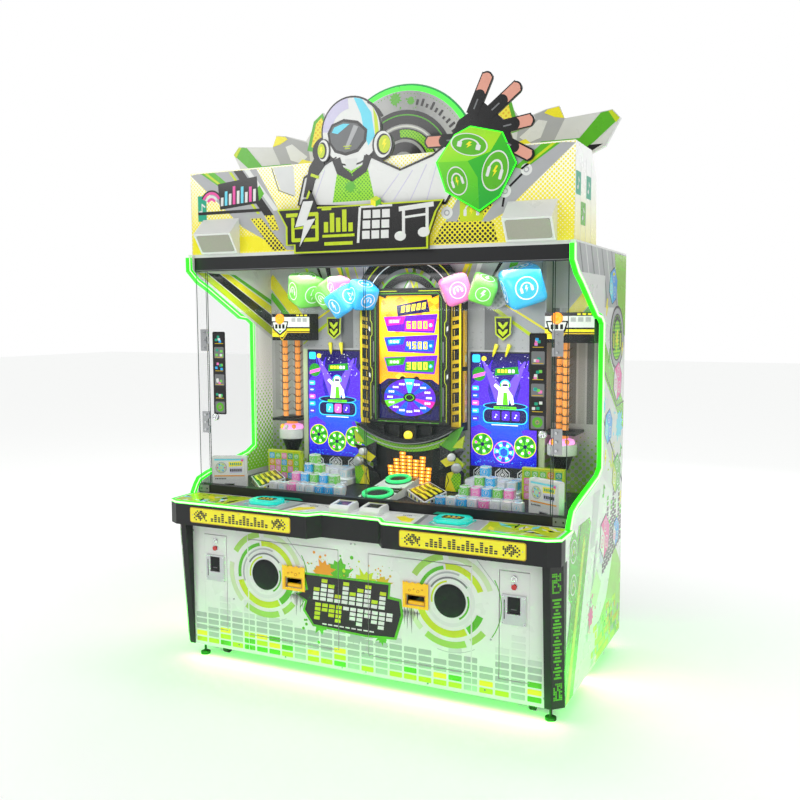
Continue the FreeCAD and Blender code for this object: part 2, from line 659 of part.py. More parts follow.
def loose_cube(x, y, z, angle):
    cube = box(x - CUBE / 2, x + CUBE / 2, y - CUBE / 2, y + CUBE / 2, z, z + CUBE)
    cube = cube.makeChamfer(CUBE_ROUND, [e for e in cube.Edges if e.BoundBox.ZLength > 1])
    return turned(cube, angle, (x, y, 0))


def cubes():
    solids = []
    for side in (-1, 1):
        for x, y, level, angle in cube_layout(side):
            solids.append(loose_cube(x, y, TABLE_TOP + level * CUBE, angle))
    return solids


# ---- back wall, screens and centre column ----
def screen(x, z0, height, y):
    return box(x - SCREEN_W / 2, x + SCREEN_W / 2, y, y + SCREEN_T, z0, z0 + height)


def screens():
    side = screen(SIDE_SCREEN_X, SIDE_SCREEN_Z0, SCREEN_H, WALL_Y - SCREEN_PROUD)
    centre = screen(0, CENTRE_SCREEN_Z0, CENTRE_SCREEN_H, COLUMN_FACE)
    return both(side) + [centre]


def back_wall():
    """Bent wall: the middle stands forward, with an alcove behind each tower."""
    z0, z1 = TABLE_TOP, ROOF_Z0
    pieces = [box(-WALL_X, WALL_X, WALL_Y, WALL_Y + BOARD_T, z0, z1)]
    pieces += both(box(WALL_X - BOARD_T, WALL_X, WALL_Y, ALCOVE_Y + BOARD_T, z0, z1))
    pieces += both(box(WALL_X - BOARD_T, INNER_X, ALCOVE_Y, ALCOVE_Y + BOARD_T, z0, z1))
    wall = fuse(pieces)
    play = 1.0
    window = box(SIDE_SCREEN_X - SCREEN_W / 2 - play, SIDE_SCREEN_X + SCREEN_W / 2 + play,
                 WALL_Y, WALL_Y + BOARD_T, SIDE_SCREEN_Z0 - play, SIDE_SCREEN_Z0 + SCREEN_H + play)
    gate = box(PUSHER_X0 - 4, PUSHER_X1 + 4, WALL_Y, WALL_Y + BOARD_T, z0, TABLE_TOP + PUSHER_H + 2)
    return [wall.cut(Part.makeCompound(both(window) + both(gate)))] + both(screen_ledge())


def screen_ledge():
    """Shelf batten under a side screen, behind the wall."""
    x0, x1 = SIDE_SCREEN_X - SCREEN_W / 2, SIDE_SCREEN_X + SCREEN_W / 2
    return box(x0, x1, WALL_Y + BOARD_T, WALL_Y + BOARD_T + 30, SIDE_SCREEN_Z0 - 20, SIDE_SCREEN_Z0)


def wedge():
    """Faceted block at the foot of the centre column."""
    outline = [(150, TABLE_TOP), (170, TABLE_TOP + 60), (262, TABLE_TOP + 113),
               (290, TABLE_TOP + 92), (284, TABLE_TOP)]
    block = prism_y(outline, COLUMN_FACE - 40, COLUMN_FACE)
    knife = prism_z([(140, COLUMN_FACE - 41), (200, COLUMN_FACE - 41), (140, COLUMN_FACE - 2)],
                    TABLE_TOP, TABLE_TOP + 200)
    return block.cut(knife)


def centre_column():
    low = box(-COLUMN_LOW_X, COLUMN_LOW_X, COLUMN_FACE, WALL_Y, TABLE_TOP, FRAME_Z0)
    high = box(-COLUMN_X, COLUMN_X, COLUMN_FACE, WALL_Y, FRAME_Z0 - 30, ROOF_Z0 - 150)
    column = fuse([low, high])
    pocket = box(-SCREEN_W / 2 - 1, SCREEN_W / 2 + 1, COLUMN_FACE, COLUMN_FACE + SCREEN_T,
                 CENTRE_SCREEN_Z0, CENTRE_SCREEN_Z0 + CENTRE_SCREEN_H)
    duct = box(-60, 60, COLUMN_FACE + SCREEN_T, WALL_Y, CENTRE_SCREEN_Z0 + 100, CENTRE_SCREEN_Z0 + 400)
    lamp = rod(17, 24, (262, COLUMN_FACE - 24, TABLE_TOP + 150), Y_AXIS)
    arm = box(COLUMN_LOW_X, 270, COLUMN_FACE, COLUMN_FACE + 12, TABLE_TOP + 140, TABLE_TOP + 160)
    return [fuse([column.cut(pocket).cut(duct)] + both(arm))] + both(wedge()) + both(lamp)


def centre_frame():
    """Black surround of the centre screen, with cut corners."""
    y0, y1 = COLUMN_FACE - FRAME_T, COLUMN_FACE
    c = FRAME_CHAMFER
    outline = [
        (-FRAME_X, FRAME_Z0), (FRAME_X, FRAME_Z0), (FRAME_X, FRAME_Z1 - c), (FRAME_X - c, FRAME_Z1),
        (-FRAME_X + c, FRAME_Z1), (-FRAME_X, FRAME_Z1 - c),
    ]
    plate = prism_y(outline, y0, y1)
    inset = 6
    hole = box(-SCREEN_W / 2 + inset, SCREEN_W / 2 - inset, y0, y1, CENTRE_SCREEN_Z0 + inset,
               CENTRE_SCREEN_Z0 + CENTRE_SCREEN_H - inset)
    return plate.cut(hole)


def prize_hopper():
    """Smile-shaped ball tray below the centre screen, with pocket dividers."""
    radius = (HOPPER_HALF ** 2 + HOPPER_SAG ** 2) / (2 * HOPPER_SAG)
    top = HOPPER_TOP
    centre_z = top - HOPPER_SAG - 13 + radius
    y0, y1 = COLUMN_FACE - HOPPER_D, COLUMN_FACE
    below = box(-2 * HOPPER_HALF, 2 * HOPPER_HALF, y0, y1, top - 2 * HOPPER_SAG, top)
    outer = rod(radius, y1 - y0, (0, y0, centre_z), Y_AXIS).common(below)
    inner = rod(radius - HOPPER_BAND, HOPPER_D - 8, (0, y0, centre_z), Y_AXIS)
    tray = outer.cut(inner)
    dividers = []
    for x in (-130, -45, 45, 130):
        rib = box(x - 5, x + 5, y0 + 24, y1, top - HOPPER_SAG - 13, top)
        dividers.append(rib.common(rod(radius - 2, y1 - y0, (0, y0, centre_z), Y_AXIS)))
    return fuse([tray] + dividers)


def header_panel():
    """Cut-out board hanging from the roof in front of the wall."""
    z1 = ROOF_Z0
    board = box(-WALL_X, WALL_X, WALL_Y - 70, WALL_Y - 62, z1 - 175, z1)
    pieces = [board]
    for x, drop, radius in ((240, 165, 72), (340, 170, 60), (430, 170, 84), (570, 150, 75)):
        disc = rod(radius, 8, (x, WALL_Y - 70, z1 - drop), Y_AXIS)
        pieces += both(disc)
    column = box(-COLUMN_X - 2, COLUMN_X + 2, WALL_Y - 90, WALL_Y, TABLE_TOP, ROOF_Z0 - 148)
    hanger = both(box(WALL_X - 40, WALL_X, WALL_Y - 62, WALL_Y, z1 - 30, z1))
    return fuse(pieces + hanger).cut(column)


def wall_badges():
    """Shield plates on posts, and two spikes under each."""
    pieces = []
    z0, z1 = 1545.0, 1661.0
    x0, x1 = SIDE_SCREEN_X - 44, SIDE_SCREEN_X + 44
    outline = [(x0 + 4, z0 + 30), (SIDE_SCREEN_X, z0), (x1 - 4, z0 + 30), (x1, z1), (x0, z1)]
    badge = prism_y(outline, WALL_Y - 24, WALL_Y - 12)
    post = rod(12, 12, (SIDE_SCREEN_X, WALL_Y - 12, (z0 + z1) / 2), Y_AXIS)
    pieces += both(fuse([badge, post]))
    for x in (SIDE_SCREEN_X - 34, SIDE_SCREEN_X + 30):
        top = Vector(x, WALL_Y - 12, z0 - 18)
        spike = Part.makeCone(11, 3, 62, top, Vector(-0.25, -0.3, -1))
        stub = rod(5, 12, (x, WALL_Y - 12, z0 - 24), Y_AXIS)
        pieces += both(fuse([spike, stub]))
    return pieces


# ---- coin towers ----
def tower_signs():
    signs = []
    for x0 in SIGN_X0:
        x1 = x0 + SIGN_W
        y0, y1 = ALCOVE_Y - 201, ALCOVE_Y - 201 + SIGN_D
        body = box(x0, x1, y0, y1, SIGN_Z0, SIGN_Z1)
        hollow = box(x0 + 8, x1 - 8, y0 + 8, y1 - 8, SIGN_Z0 + 8, SIGN_Z1)
        a, b = sorted(math.copysign(x, x0) for x in (TUBES[0][0] + TUBE_R, TUBES[1][0] - TUBE_R))
        arm = box(a, b, y1, ALCOVE_Y, SIGN_Z0, SIGN_Z0 + 40)
        signs.append(fuse([body.cut(hollow), arm]))
    return signs


def coin_towers():
    """Tubes with bristle rings between a sign and a drum stand, for one side; the other is its mirror."""
    pieces = []
    for x, y in TUBES:
        pieces.append(rod(TUBE_R, SIGN_Z0 - STAND_Z - 12, (x, y, STAND_Z + 12), Z_AXIS))
    x_mid = TOWER_X
    plate = box(WALL_X + 1, x_mid + 80, ALCOVE_Y - 165, ALCOVE_Y, STAND_Z, STAND_Z + 12)
    y_mid = ALCOVE_Y - 95
    neck = rod(30, STAND_Z - DRUM_Z1, (x_mid, y_mid, DRUM_Z1), Z_AXIS)
    drum = rod(DRUM_R, DRUM_Z1 - DRUM_Z0, (x_mid, y_mid, DRUM_Z0), Z_AXIS)
    funnel = Part.makeCone(26, 54, DRUM_Z0 - FUNNEL_Z0, Vector(x_mid, y_mid, FUNNEL_Z0), Z_AXIS)
    pieces.append(fuse([plate, neck, drum, funnel]))
    return [copy for piece in pieces for copy in both(piece)]


# ---- top box, speakers and signs ----
def marquee_profile(inset):
    y0 = GLASS_Y + inset
    z0, z1 = CAB_TOP + inset, MARQUEE_TOP - inset
    return [
        (y0, z0), (y0, z1), (GLASS_Y + MARQUEE_TOP_D - inset / 2, z1),
        (GLASS_Y + MARQUEE_D - 15 - inset, z1 - MARQUEE_SLOPE), (GLASS_Y + MARQUEE_D - inset, z0),
    ]


def marquee_box():
    body = prism_x(marquee_profile(0), -MARQUEE_X, MARQUEE_X)
    hollow = prism_x(marquee_profile(MARQUEE_T), -MARQUEE_X + MARQUEE_T, MARQUEE_X - MARQUEE_T)
    cable = box(-60, 60, GLASS_Y + 200, GLASS_Y + 260, CAB_TOP, CAB_TOP + MARQUEE_T)
    return body.cut(hollow).cut(cable)


def upper_speaker():
    z0 = CAB_TOP
    profile = [
        (GLASS_Y, z0), (GLASS_Y - HORN_LOW_D, z0), (GLASS_Y - HORN_TOP_D, z0 + 89), (GLASS_Y, z0 + HORN_H),
    ]
    body = prism_x(profile, HORN_X0, HORN_X1)
    slope = math.degrees(math.atan2(HORN_TOP_D - HORN_LOW_D, 89.0))
    recess = box(HORN_X0 + 10, HORN_X1 - 10, GLASS_Y - HORN_LOW_D - 1, GLASS_Y - HORN_LOW_D + 4, z0 + 10, z0 + 98)
    recess = turned(recess, slope, (0, GLASS_Y - HORN_LOW_D, z0), X_AXIS)
    return body.cut(recess)


def over_roof(points):
    """Outline of a sign from points whose heights are over the roof."""
    return [(x, CAB_TOP + z) for x, z in points]


def figure_outline_pieces(y0, y1):
    """Plain headphone listener, raised arm, open glove and a large cube, as overlapping flat shapes."""
    head = rod(150, y1 - y0, (-55, y0, CAB_TOP + 507), Y_AXIS)
    cups = [rod(62, y1 - y0, (x, y0, CAB_TOP + 432), Y_AXIS) for x in (-190, 90)]
    bust = prism_y(over_roof([(-335, 202), (-300, 327), (-130, 407), (20, 407), (182, 329), (333, 379), (400, 422),
                    (460, 277), (393, 167), (19, 177)]), y0, y1)
    cube = prism_y(over_roof([(349, 341), (432, 449), (503, 478), (643, 442), (703, 315), (632, 185), (543, 125),
                    (393, 218)]), y0, y1)
    palm = prism_y(over_roof([(400, 407), (450, 507), (560, 567), (660, 477), (700, 367), (520, 317)]), y0, y1)
    return [head, bust, cube, palm] + cups


def finger(root, tip, half, y0, y1):
    """Rounded finger between two (x, z) points."""
    dx, dz = tip[0] - root[0], tip[1] - root[1]
    length = math.hypot(dx, dz)
    nx, nz = -dz / length * half, dx / length * half
    shaft = prism_y([(root[0] + nx, root[1] + nz), (tip[0] + nx, tip[1] + nz),
                     (tip[0] - nx, tip[1] - nz), (root[0] - nx, root[1] - nz)], y0, y1)
    return fuse([shaft, rod(half, y1 - y0, (tip[0], y0, tip[1]), Y_AXIS)])


def figure_board():
    y0, y1 = GLASS_Y - SIGN_T, GLASS_Y
    pieces = figure_outline_pieces(y0, y1)
    fingers = (((515, 537), (572, 662)), ((590, 527), (695, 609)), ((640, 462), (748, 477)),
               ((640, 407), (748, 345)), ((440, 427), (322, 429)))
    for root, tip in fingers:
        pieces.append(finger(*over_roof([root, tip]), 27, y0, y1))
    return fuse(pieces)


def title_board():
    y1 = GLASS_Y - SIGN_T
    outline = [
        (-434, 187), (-388, 107), (-388, 22), (-345, 22), (-345, -15), (320, -15),
        (320, 37), (359, 141), (390, 187), (110, 187), (75, 209), (60, 187), (-225, 187),
        (-262, 265), (-296, 187),
    ]
    return prism_y(over_roof(outline), y1 - BOARD_T, y1)


def topper_board():
    y0, y1 = TOPPER_Y, TOPPER_Y + TOPPER_T
    tip = WING_SPAN / 2
    disc_z = TOPPER_TOP - DISC_R
    disc = rod(DISC_R, y1 - y0, (DISC_X, y0, disc_z), Y_AXIS)
    low_z = MARQUEE_H - 190
    wing = prism_y(over_roof([(0, low_z), (622, low_z + 20), (741, 266), (894, 412), (951, 437), (tip, 553), (980, 591),
                    (930, 585), (770, 572), (745, 629), (686, 621), (568, 586), (470, 717), (420, 597),
                    (0, 597)]), y0, y1)
    leg = box(300, 380, TOPPER_Y - 30, TOPPER_Y + TOPPER_T, CAB_TOP, CAB_TOP + low_z + 10)
    return fuse([disc] + both(wing) + both(leg))


# ---- inside the lower cabinet ----
def electronics():
    floor = CAB_Z0 + TUBE + BOARD_T
    supply = box(-260, -60, 250, 390, floor, floor + 90)
    computer = box(60, 420, 180, 400, floor, floor + 150)
    computer = computer.cut(box(100, 380, 180, 184, floor + 40, floor + 110))
    return [supply, computer]


def ticket_dispenser():
    """Ticket drive behind the mouth, on a bin that stands on the floor board."""
    floor = CAB_Z0 + TUBE + BOARD_T
    x0, x1 = MOUTH_X - 60, MOUTH_X + 60
    y0 = PANEL_Y + BOARD_T + 6
    ticket_bin = box(x0, x1, y0 + 20, y0 + 220, floor, MOUTH_Z - 90)
    ticket_bin = ticket_bin.cut(box(x0 + 3, x1 - 3, y0 + 23, y0 + 217, floor + 3, MOUTH_Z - 90))
    drive = box(x0 + 15, x1 - 15, y0 + 20, y0 + 180, MOUTH_Z - 90, MOUTH_Z - 50)
    return fuse([ticket_bin, drive])


def coin_box():
    floor = CAB_Z0 + TUBE + BOARD_T
    y0 = PANEL_Y + BOARD_T + 12
    outer = box(COIN_X - 55, COIN_X + 55, y0, y0 + 240, floor, floor + 170)
    return outer.cut(box(COIN_X - 52, COIN_X + 52, y0 + 3, y0 + 237, floor + 3, floor + 170))


def power_inlet():
    body = box(INLET_X, INLET_X + INLET_W, INNER_REAR_Y - 20, REAR_Y, INLET_Z, INLET_Z + INLET_H)
    socket = box(INLET_X + 16, INLET_X + 44, REAR_Y - 22, REAR_Y, INLET_Z + 14, INLET_Z + 36)
    body = body.cut(socket)
    pins = [box(INLET_X + x, INLET_X + x + 2, REAR_Y - 24, REAR_Y - 6, INLET_Z + 21, INLET_Z + 27)
            for x in (21, 29, 37)]
    return fuse([body] + pins)


# ---- feet and casters ----
def levelling_feet():
    feet = []
    for y in FOOT_YS:
        base = rod(FOOT_R, FOOT_BASE, (FOOT_X, y, 0), Z_AXIS)
        stem = rod(6, CAB_Z0 - FOOT_BASE, (FOOT_X, y, FOOT_BASE), Z_AXIS)
        nut = rod(11, 8, (FOOT_X, y, CAB_Z0 - 8), Z_AXIS)
        feet += both(fuse([base, stem, nut]))
    return feet


def caster_bracket(y):
    z_axle = WHEEL_R + WHEEL_LIFT
    top = box(WHEEL_X - 32, WHEEL_X + 32, y - 32, y + 32, CAB_Z0 - 4, CAB_Z0)
    pieces = [top]
    for x in (WHEEL_X - WHEEL_W / 2 - 5, WHEEL_X + WHEEL_W / 2 + 1):
        pieces.append(box(x, x + 4, y - 16, y + 16, z_axle - 10, CAB_Z0 - 4))
    pieces.append(rod(AXLE_R, WHEEL_W + 10, (WHEEL_X - WHEEL_W / 2 - 5, y, z_axle), X_AXIS))
    return fuse(pieces)


def caster_wheel(y):
    z_axle = WHEEL_R + WHEEL_LIFT
    wheel = rod(WHEEL_R, WHEEL_W, (WHEEL_X - WHEEL_W / 2, y, z_axle), X_AXIS)
    bore = rod(AXLE_R + AXLE_PLAY, WHEEL_W, (WHEEL_X - WHEEL_W / 2, y, z_axle), X_AXIS)
    return wheel.cut(bore)


def build():
    os.makedirs("parts", exist_ok=True)
    save("base_frame", base_frame())
    save("floor_board", floor_board())
    save("side_panel_right", side_panel())
    save("side_panel_left", mirrored(side_panel()))
    save("light_strips", light_strips())
    save("rear_panel", rear_panel())
    save("rear_door", rear_door())
    save("roof_board", roof_board())
    save("front_panel", front_panel())
    save("corner_posts", both(corner_post()))
    save("fascia", fascia())
    save("control_deck", control_deck())
    save("deck_fittings", deck_fittings())
    save("bottom_rail", bottom_rail())
    save("top_beam", top_beam())
    save("fixed_glass", fixed_glass())
    save("hinge_plates", hinge_plates())
    for name, maker in (("main_door", main_door), ("coin_flap", coin_flap), ("reject_button", reject_button),
                        ("glass_door", glass_door)):
        save(name + "_right", maker())
        save(name + "_left", mirrored(maker()))
    shelf = [pusher()] + riding_cubes()
    save("pusher_right", shelf)
    save("pusher_left", [mirrored(piece) for piece in shelf])
    save("coin_door_right", [coin_door(), coin_bezel()])
    save("coin_door_left", [mirrored(coin_door()), mirrored(coin_bezel())])
    save("player_button_right", player_button(STATION_X))
    save("player_button_left", player_button(-STATION_X))
    save("playfield_table", playfield_table())
    save("pusher_motors", both(pusher_motor()))
    save("deck_islands", deck_islands())
    save("cube_racks", both(cube_rack()))
    save("reader_boxes", both(reader_box()))
    save("cubes", cubes())
    save("screens", screens())
    save("back_wall", back_wall())
    save("centre_column", centre_column())
    save("centre_frame", centre_frame())
    save("prize_hopper", prize_hopper())
    save("wall_signs", [header_panel()] + wall_badges())
    save("tower_signs", tower_signs())
    save("coin_towers", coin_towers())
    save("marquee_box", marquee_box())
    save("upper_speakers", both(upper_speaker()))
    save("figure_board", figure_board())
    save("title_board", title_board())
    save("topper_board", topper_board())
    save("electronics", electronics())
    save("ticket_dispensers", both(ticket_dispenser()))
    save("coin_boxes", both(coin_box()))
    save("power_inlet", power_inlet())
    save("levelling_feet", levelling_feet())
    save("caster_brackets", [piece for y in WHEEL_YS for piece in both(caster_bracket(y))])
    for name, y in (("front", WHEEL_YS[0]), ("rear", WHEEL_YS[1])):
        save("wheel_" + name + "_right", caster_wheel(y))
        save("wheel_" + name + "_left", mirrored(caster_wheel(y)))


build()
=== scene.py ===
import bpy
import bmesh
import math
import random
from mathutils import Vector, Matrix


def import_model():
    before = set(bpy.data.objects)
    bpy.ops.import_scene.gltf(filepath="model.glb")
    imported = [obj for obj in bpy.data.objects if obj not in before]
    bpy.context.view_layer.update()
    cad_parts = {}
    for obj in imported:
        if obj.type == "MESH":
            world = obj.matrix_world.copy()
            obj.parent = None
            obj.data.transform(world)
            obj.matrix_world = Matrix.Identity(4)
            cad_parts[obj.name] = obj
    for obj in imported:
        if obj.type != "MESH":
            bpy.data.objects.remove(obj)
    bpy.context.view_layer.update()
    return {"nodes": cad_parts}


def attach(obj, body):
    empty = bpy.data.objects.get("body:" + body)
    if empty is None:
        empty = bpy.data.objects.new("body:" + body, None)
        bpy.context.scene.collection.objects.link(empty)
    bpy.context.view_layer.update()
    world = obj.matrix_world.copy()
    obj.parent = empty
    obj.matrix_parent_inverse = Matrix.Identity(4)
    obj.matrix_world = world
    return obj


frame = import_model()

LEFT, RIGHT = ("left", -1), ("right", 1)
FRONT = ((1, 0, 0), (0, 0, 1))      # drawing planes: across, up
EAST = ((0, 1, 0), (0, 0, 1))
WEST = ((0, -1, 0), (0, 0, 1))
UP = ((1, 0, 0), (0, 1, 0))
BACK = ((-1, 0, 0), (0, 0, 1))

# Faces that carry prints, in millimetres.
SIDE_X = 950            # outer face of a side panel
INNER_X = 930           # its inner face
PANEL_Y = -495          # lower front
FASCIA_Y = -581.5
GLASS_Y = -366          # glass doors and the sign's box
REAR_Y = 581.5
TOPPER_Y = 90           # winged disc board
SPEAKER_X, SPEAKER_Z = 463, 470
COIN_X = 745.5          # middle of a coin door
MOUTH_X = 306           # middle of a ticket mouth
SCREEN_X = 461


# ---------------------------------------------------------------- materials
def rgb(text):
    """Linear colour of a six-digit sRGB value."""
    out = []
    for k in (0, 2, 4):
        c = int(text[k:k + 2], 16) / 255
        out.append(c / 12.92 if c <= 0.04045 else ((c + 0.055) / 1.055) ** 2.4)
    return tuple(out) + (1.0,)


def shade(c, k):
    return tuple(min(1.0, v * k) for v in c[:3]) + (1.0,)


def wire(tree, made, inputs):
    """Gives each input of a node its value, or links it where the value is another node's output."""
    for key, value in inputs.items():
        if isinstance(value, bpy.types.NodeSocket):
            tree.links.new(value, made.inputs[key])
        else:
            made.inputs[key].default_value = value


def node(tree, kind, inputs, **settings):
    made = tree.nodes.new("ShaderNode" + kind)
    for key, value in settings.items():
        setattr(made, key, value)
    wire(tree, made, inputs)
    return made


def placed(tree, scale, spin=(0, 0, 0)):
    """Object coordinates, turned and stretched."""
    coords = node(tree, "TexCoord", {})
    return node(tree, "Mapping", {0: coords.outputs["Object"], "Scale": scale, "Rotation": spin}).outputs[0]


def along(tree, axis):
    """One of the object coordinates, in metres."""
    split = node(tree, "SeparateXYZ", {0: node(tree, "TexCoord", {}).outputs["Object"]})
    return split.outputs["XYZ".index(axis)]


def mixed(tree, fac, a, b):
    return node(tree, "Mix", {0: fac, 6: a, 7: b}, data_type="RGBA").outputs[2]


def new_mat(name):
    m = bpy.data.materials.new(name)
    m.use_nodes = True
    return m, m.node_tree


COAT_ROUGH = 0.08       # roughness of a clear coat
RELIEF = 0.0006         # depth of the fine grain, metres


def finish_mat(m, color, rough, metal, scale, bump, emit, coat, alpha, stretch=(1, 1, 1)):
    """Roughness variation, fine relief, and the constants, on a material whose colour is already wired."""
    tree = m.node_tree
    place = placed(tree, stretch)
    smear = node(tree, "TexNoise", {"Vector": place, "Scale": scale * 0.35, "Detail": 4})
    span = node(tree, "MapRange", {"Value": smear.outputs["Fac"], "To Min": max(0.02, rough - 0.08),
                                   "To Max": min(1.0, rough + 0.10)})
    inputs = {"Roughness": span.outputs[0], "Metallic": metal, "Coat Weight": coat, "Coat Roughness": COAT_ROUGH,
              "Alpha": alpha, "Base Color": color}
    if bump:
        grain = node(tree, "TexNoise", {"Vector": place, "Scale": scale * 6, "Detail": 3})
        relief = node(tree, "Bump", {"Height": grain.outputs["Fac"], "Strength": bump, "Distance": RELIEF})
        inputs["Normal"] = relief.outputs[0]
    if emit:
        inputs["Emission Color"] = color
        inputs["Emission Strength"] = emit
    wire(tree, tree.nodes["Principled BSDF"], inputs)
    return m


def plain(name, hexes, rough=0.35, metal=0.0, var=0.06, scale=22.0, bump=0.08, emit=0.0, coat=0.0, alpha=1.0,
          stretch=(1, 1, 1)):
    """One colour with soft variation in tone, sheen and surface."""
    m, tree = new_mat(name)
    base = rgb(hexes)
    noise = node(tree, "TexNoise", {"Vector": placed(tree, stretch), "Scale": scale, "Detail": 6})
    color = mixed(tree, noise.outputs["Fac"], shade(base, 1 - var), shade(base, 1 + var))
    return finish_mat(m, color, rough, metal, scale, bump, emit, coat, alpha, stretch)


def dotted(name, ground, dot, pitch, plane, axis, fade, sizes, rough=0.3, emit=0.0):
    """Halftone print: dots on a grid turned by 45 degrees, their size changing along one axis over the fade range,
    in metres."""
    m, tree = new_mat(name)
    spin = math.radians(45)
    spins = {"xz": (0, spin, 0), "yz": (spin, 0, 0)}
    flats = {"xz": (1, 0, 1), "yz": (0, 1, 1)}
    cell = node(tree, "VectorMath", {0: placed(tree, (1 / pitch,) * 3, spins[plane])}, operation="FRACTION")
    centred = node(tree, "VectorMath", {0: cell.outputs[0], 1: (0.5, 0.5, 0.5)}, operation="SUBTRACT")
    flat = node(tree, "VectorMath", {0: centred.outputs[0], 1: flats[plane]}, operation="MULTIPLY")
    length = node(tree, "VectorMath", {0: flat.outputs[0]}, operation="LENGTH")
    size = node(tree, "MapRange", {"Value": along(tree, axis), "From Min": fade[0], "From Max": fade[1],
                                   "To Min": sizes[0], "To Max": sizes[1]})
    inside = node(tree, "Math", {0: length.outputs["Value"], 1: size.outputs[0]}, operation="LESS_THAN")
    color = mixed(tree, inside.outputs[0], rgb(ground), rgb(dot))
    return finish_mat(m, color, rough, 0, 22, 0.05, emit, 0.2, 1.0)


def faded(name, stops, axis, lo, hi, rough=0.25, emit=0.0):
    """Colours that run along one axis from lo to hi, in metres, with a little mottling."""
    m, tree = new_mat(name)
    span = node(tree, "MapRange", {"Value": along(tree, axis), "From Min": lo, "From Max": hi})
    coords = node(tree, "TexCoord", {})
    noise = node(tree, "TexNoise", {"Vector": coords.outputs["Object"], "Scale": 14})
    wobble = node(tree, "Math", {0: noise.outputs["Fac"], 1: 0.16, 2: span.outputs[0]}, operation="MULTIPLY_ADD")
    ramp = node(tree, "ValToRGB", {0: wobble.outputs[0]})
    while len(ramp.color_ramp.elements) < len(stops):
        ramp.color_ramp.elements.new(0.5)
    for k, stop in enumerate(stops):
        ramp.color_ramp.elements[k].position = k / (len(stops) - 1)
        ramp.color_ramp.elements[k].color = rgb(stop)
    return finish_mat(m, ramp.outputs[0], rough, 0, 22, 0.04, emit, 0.2, 1.0)


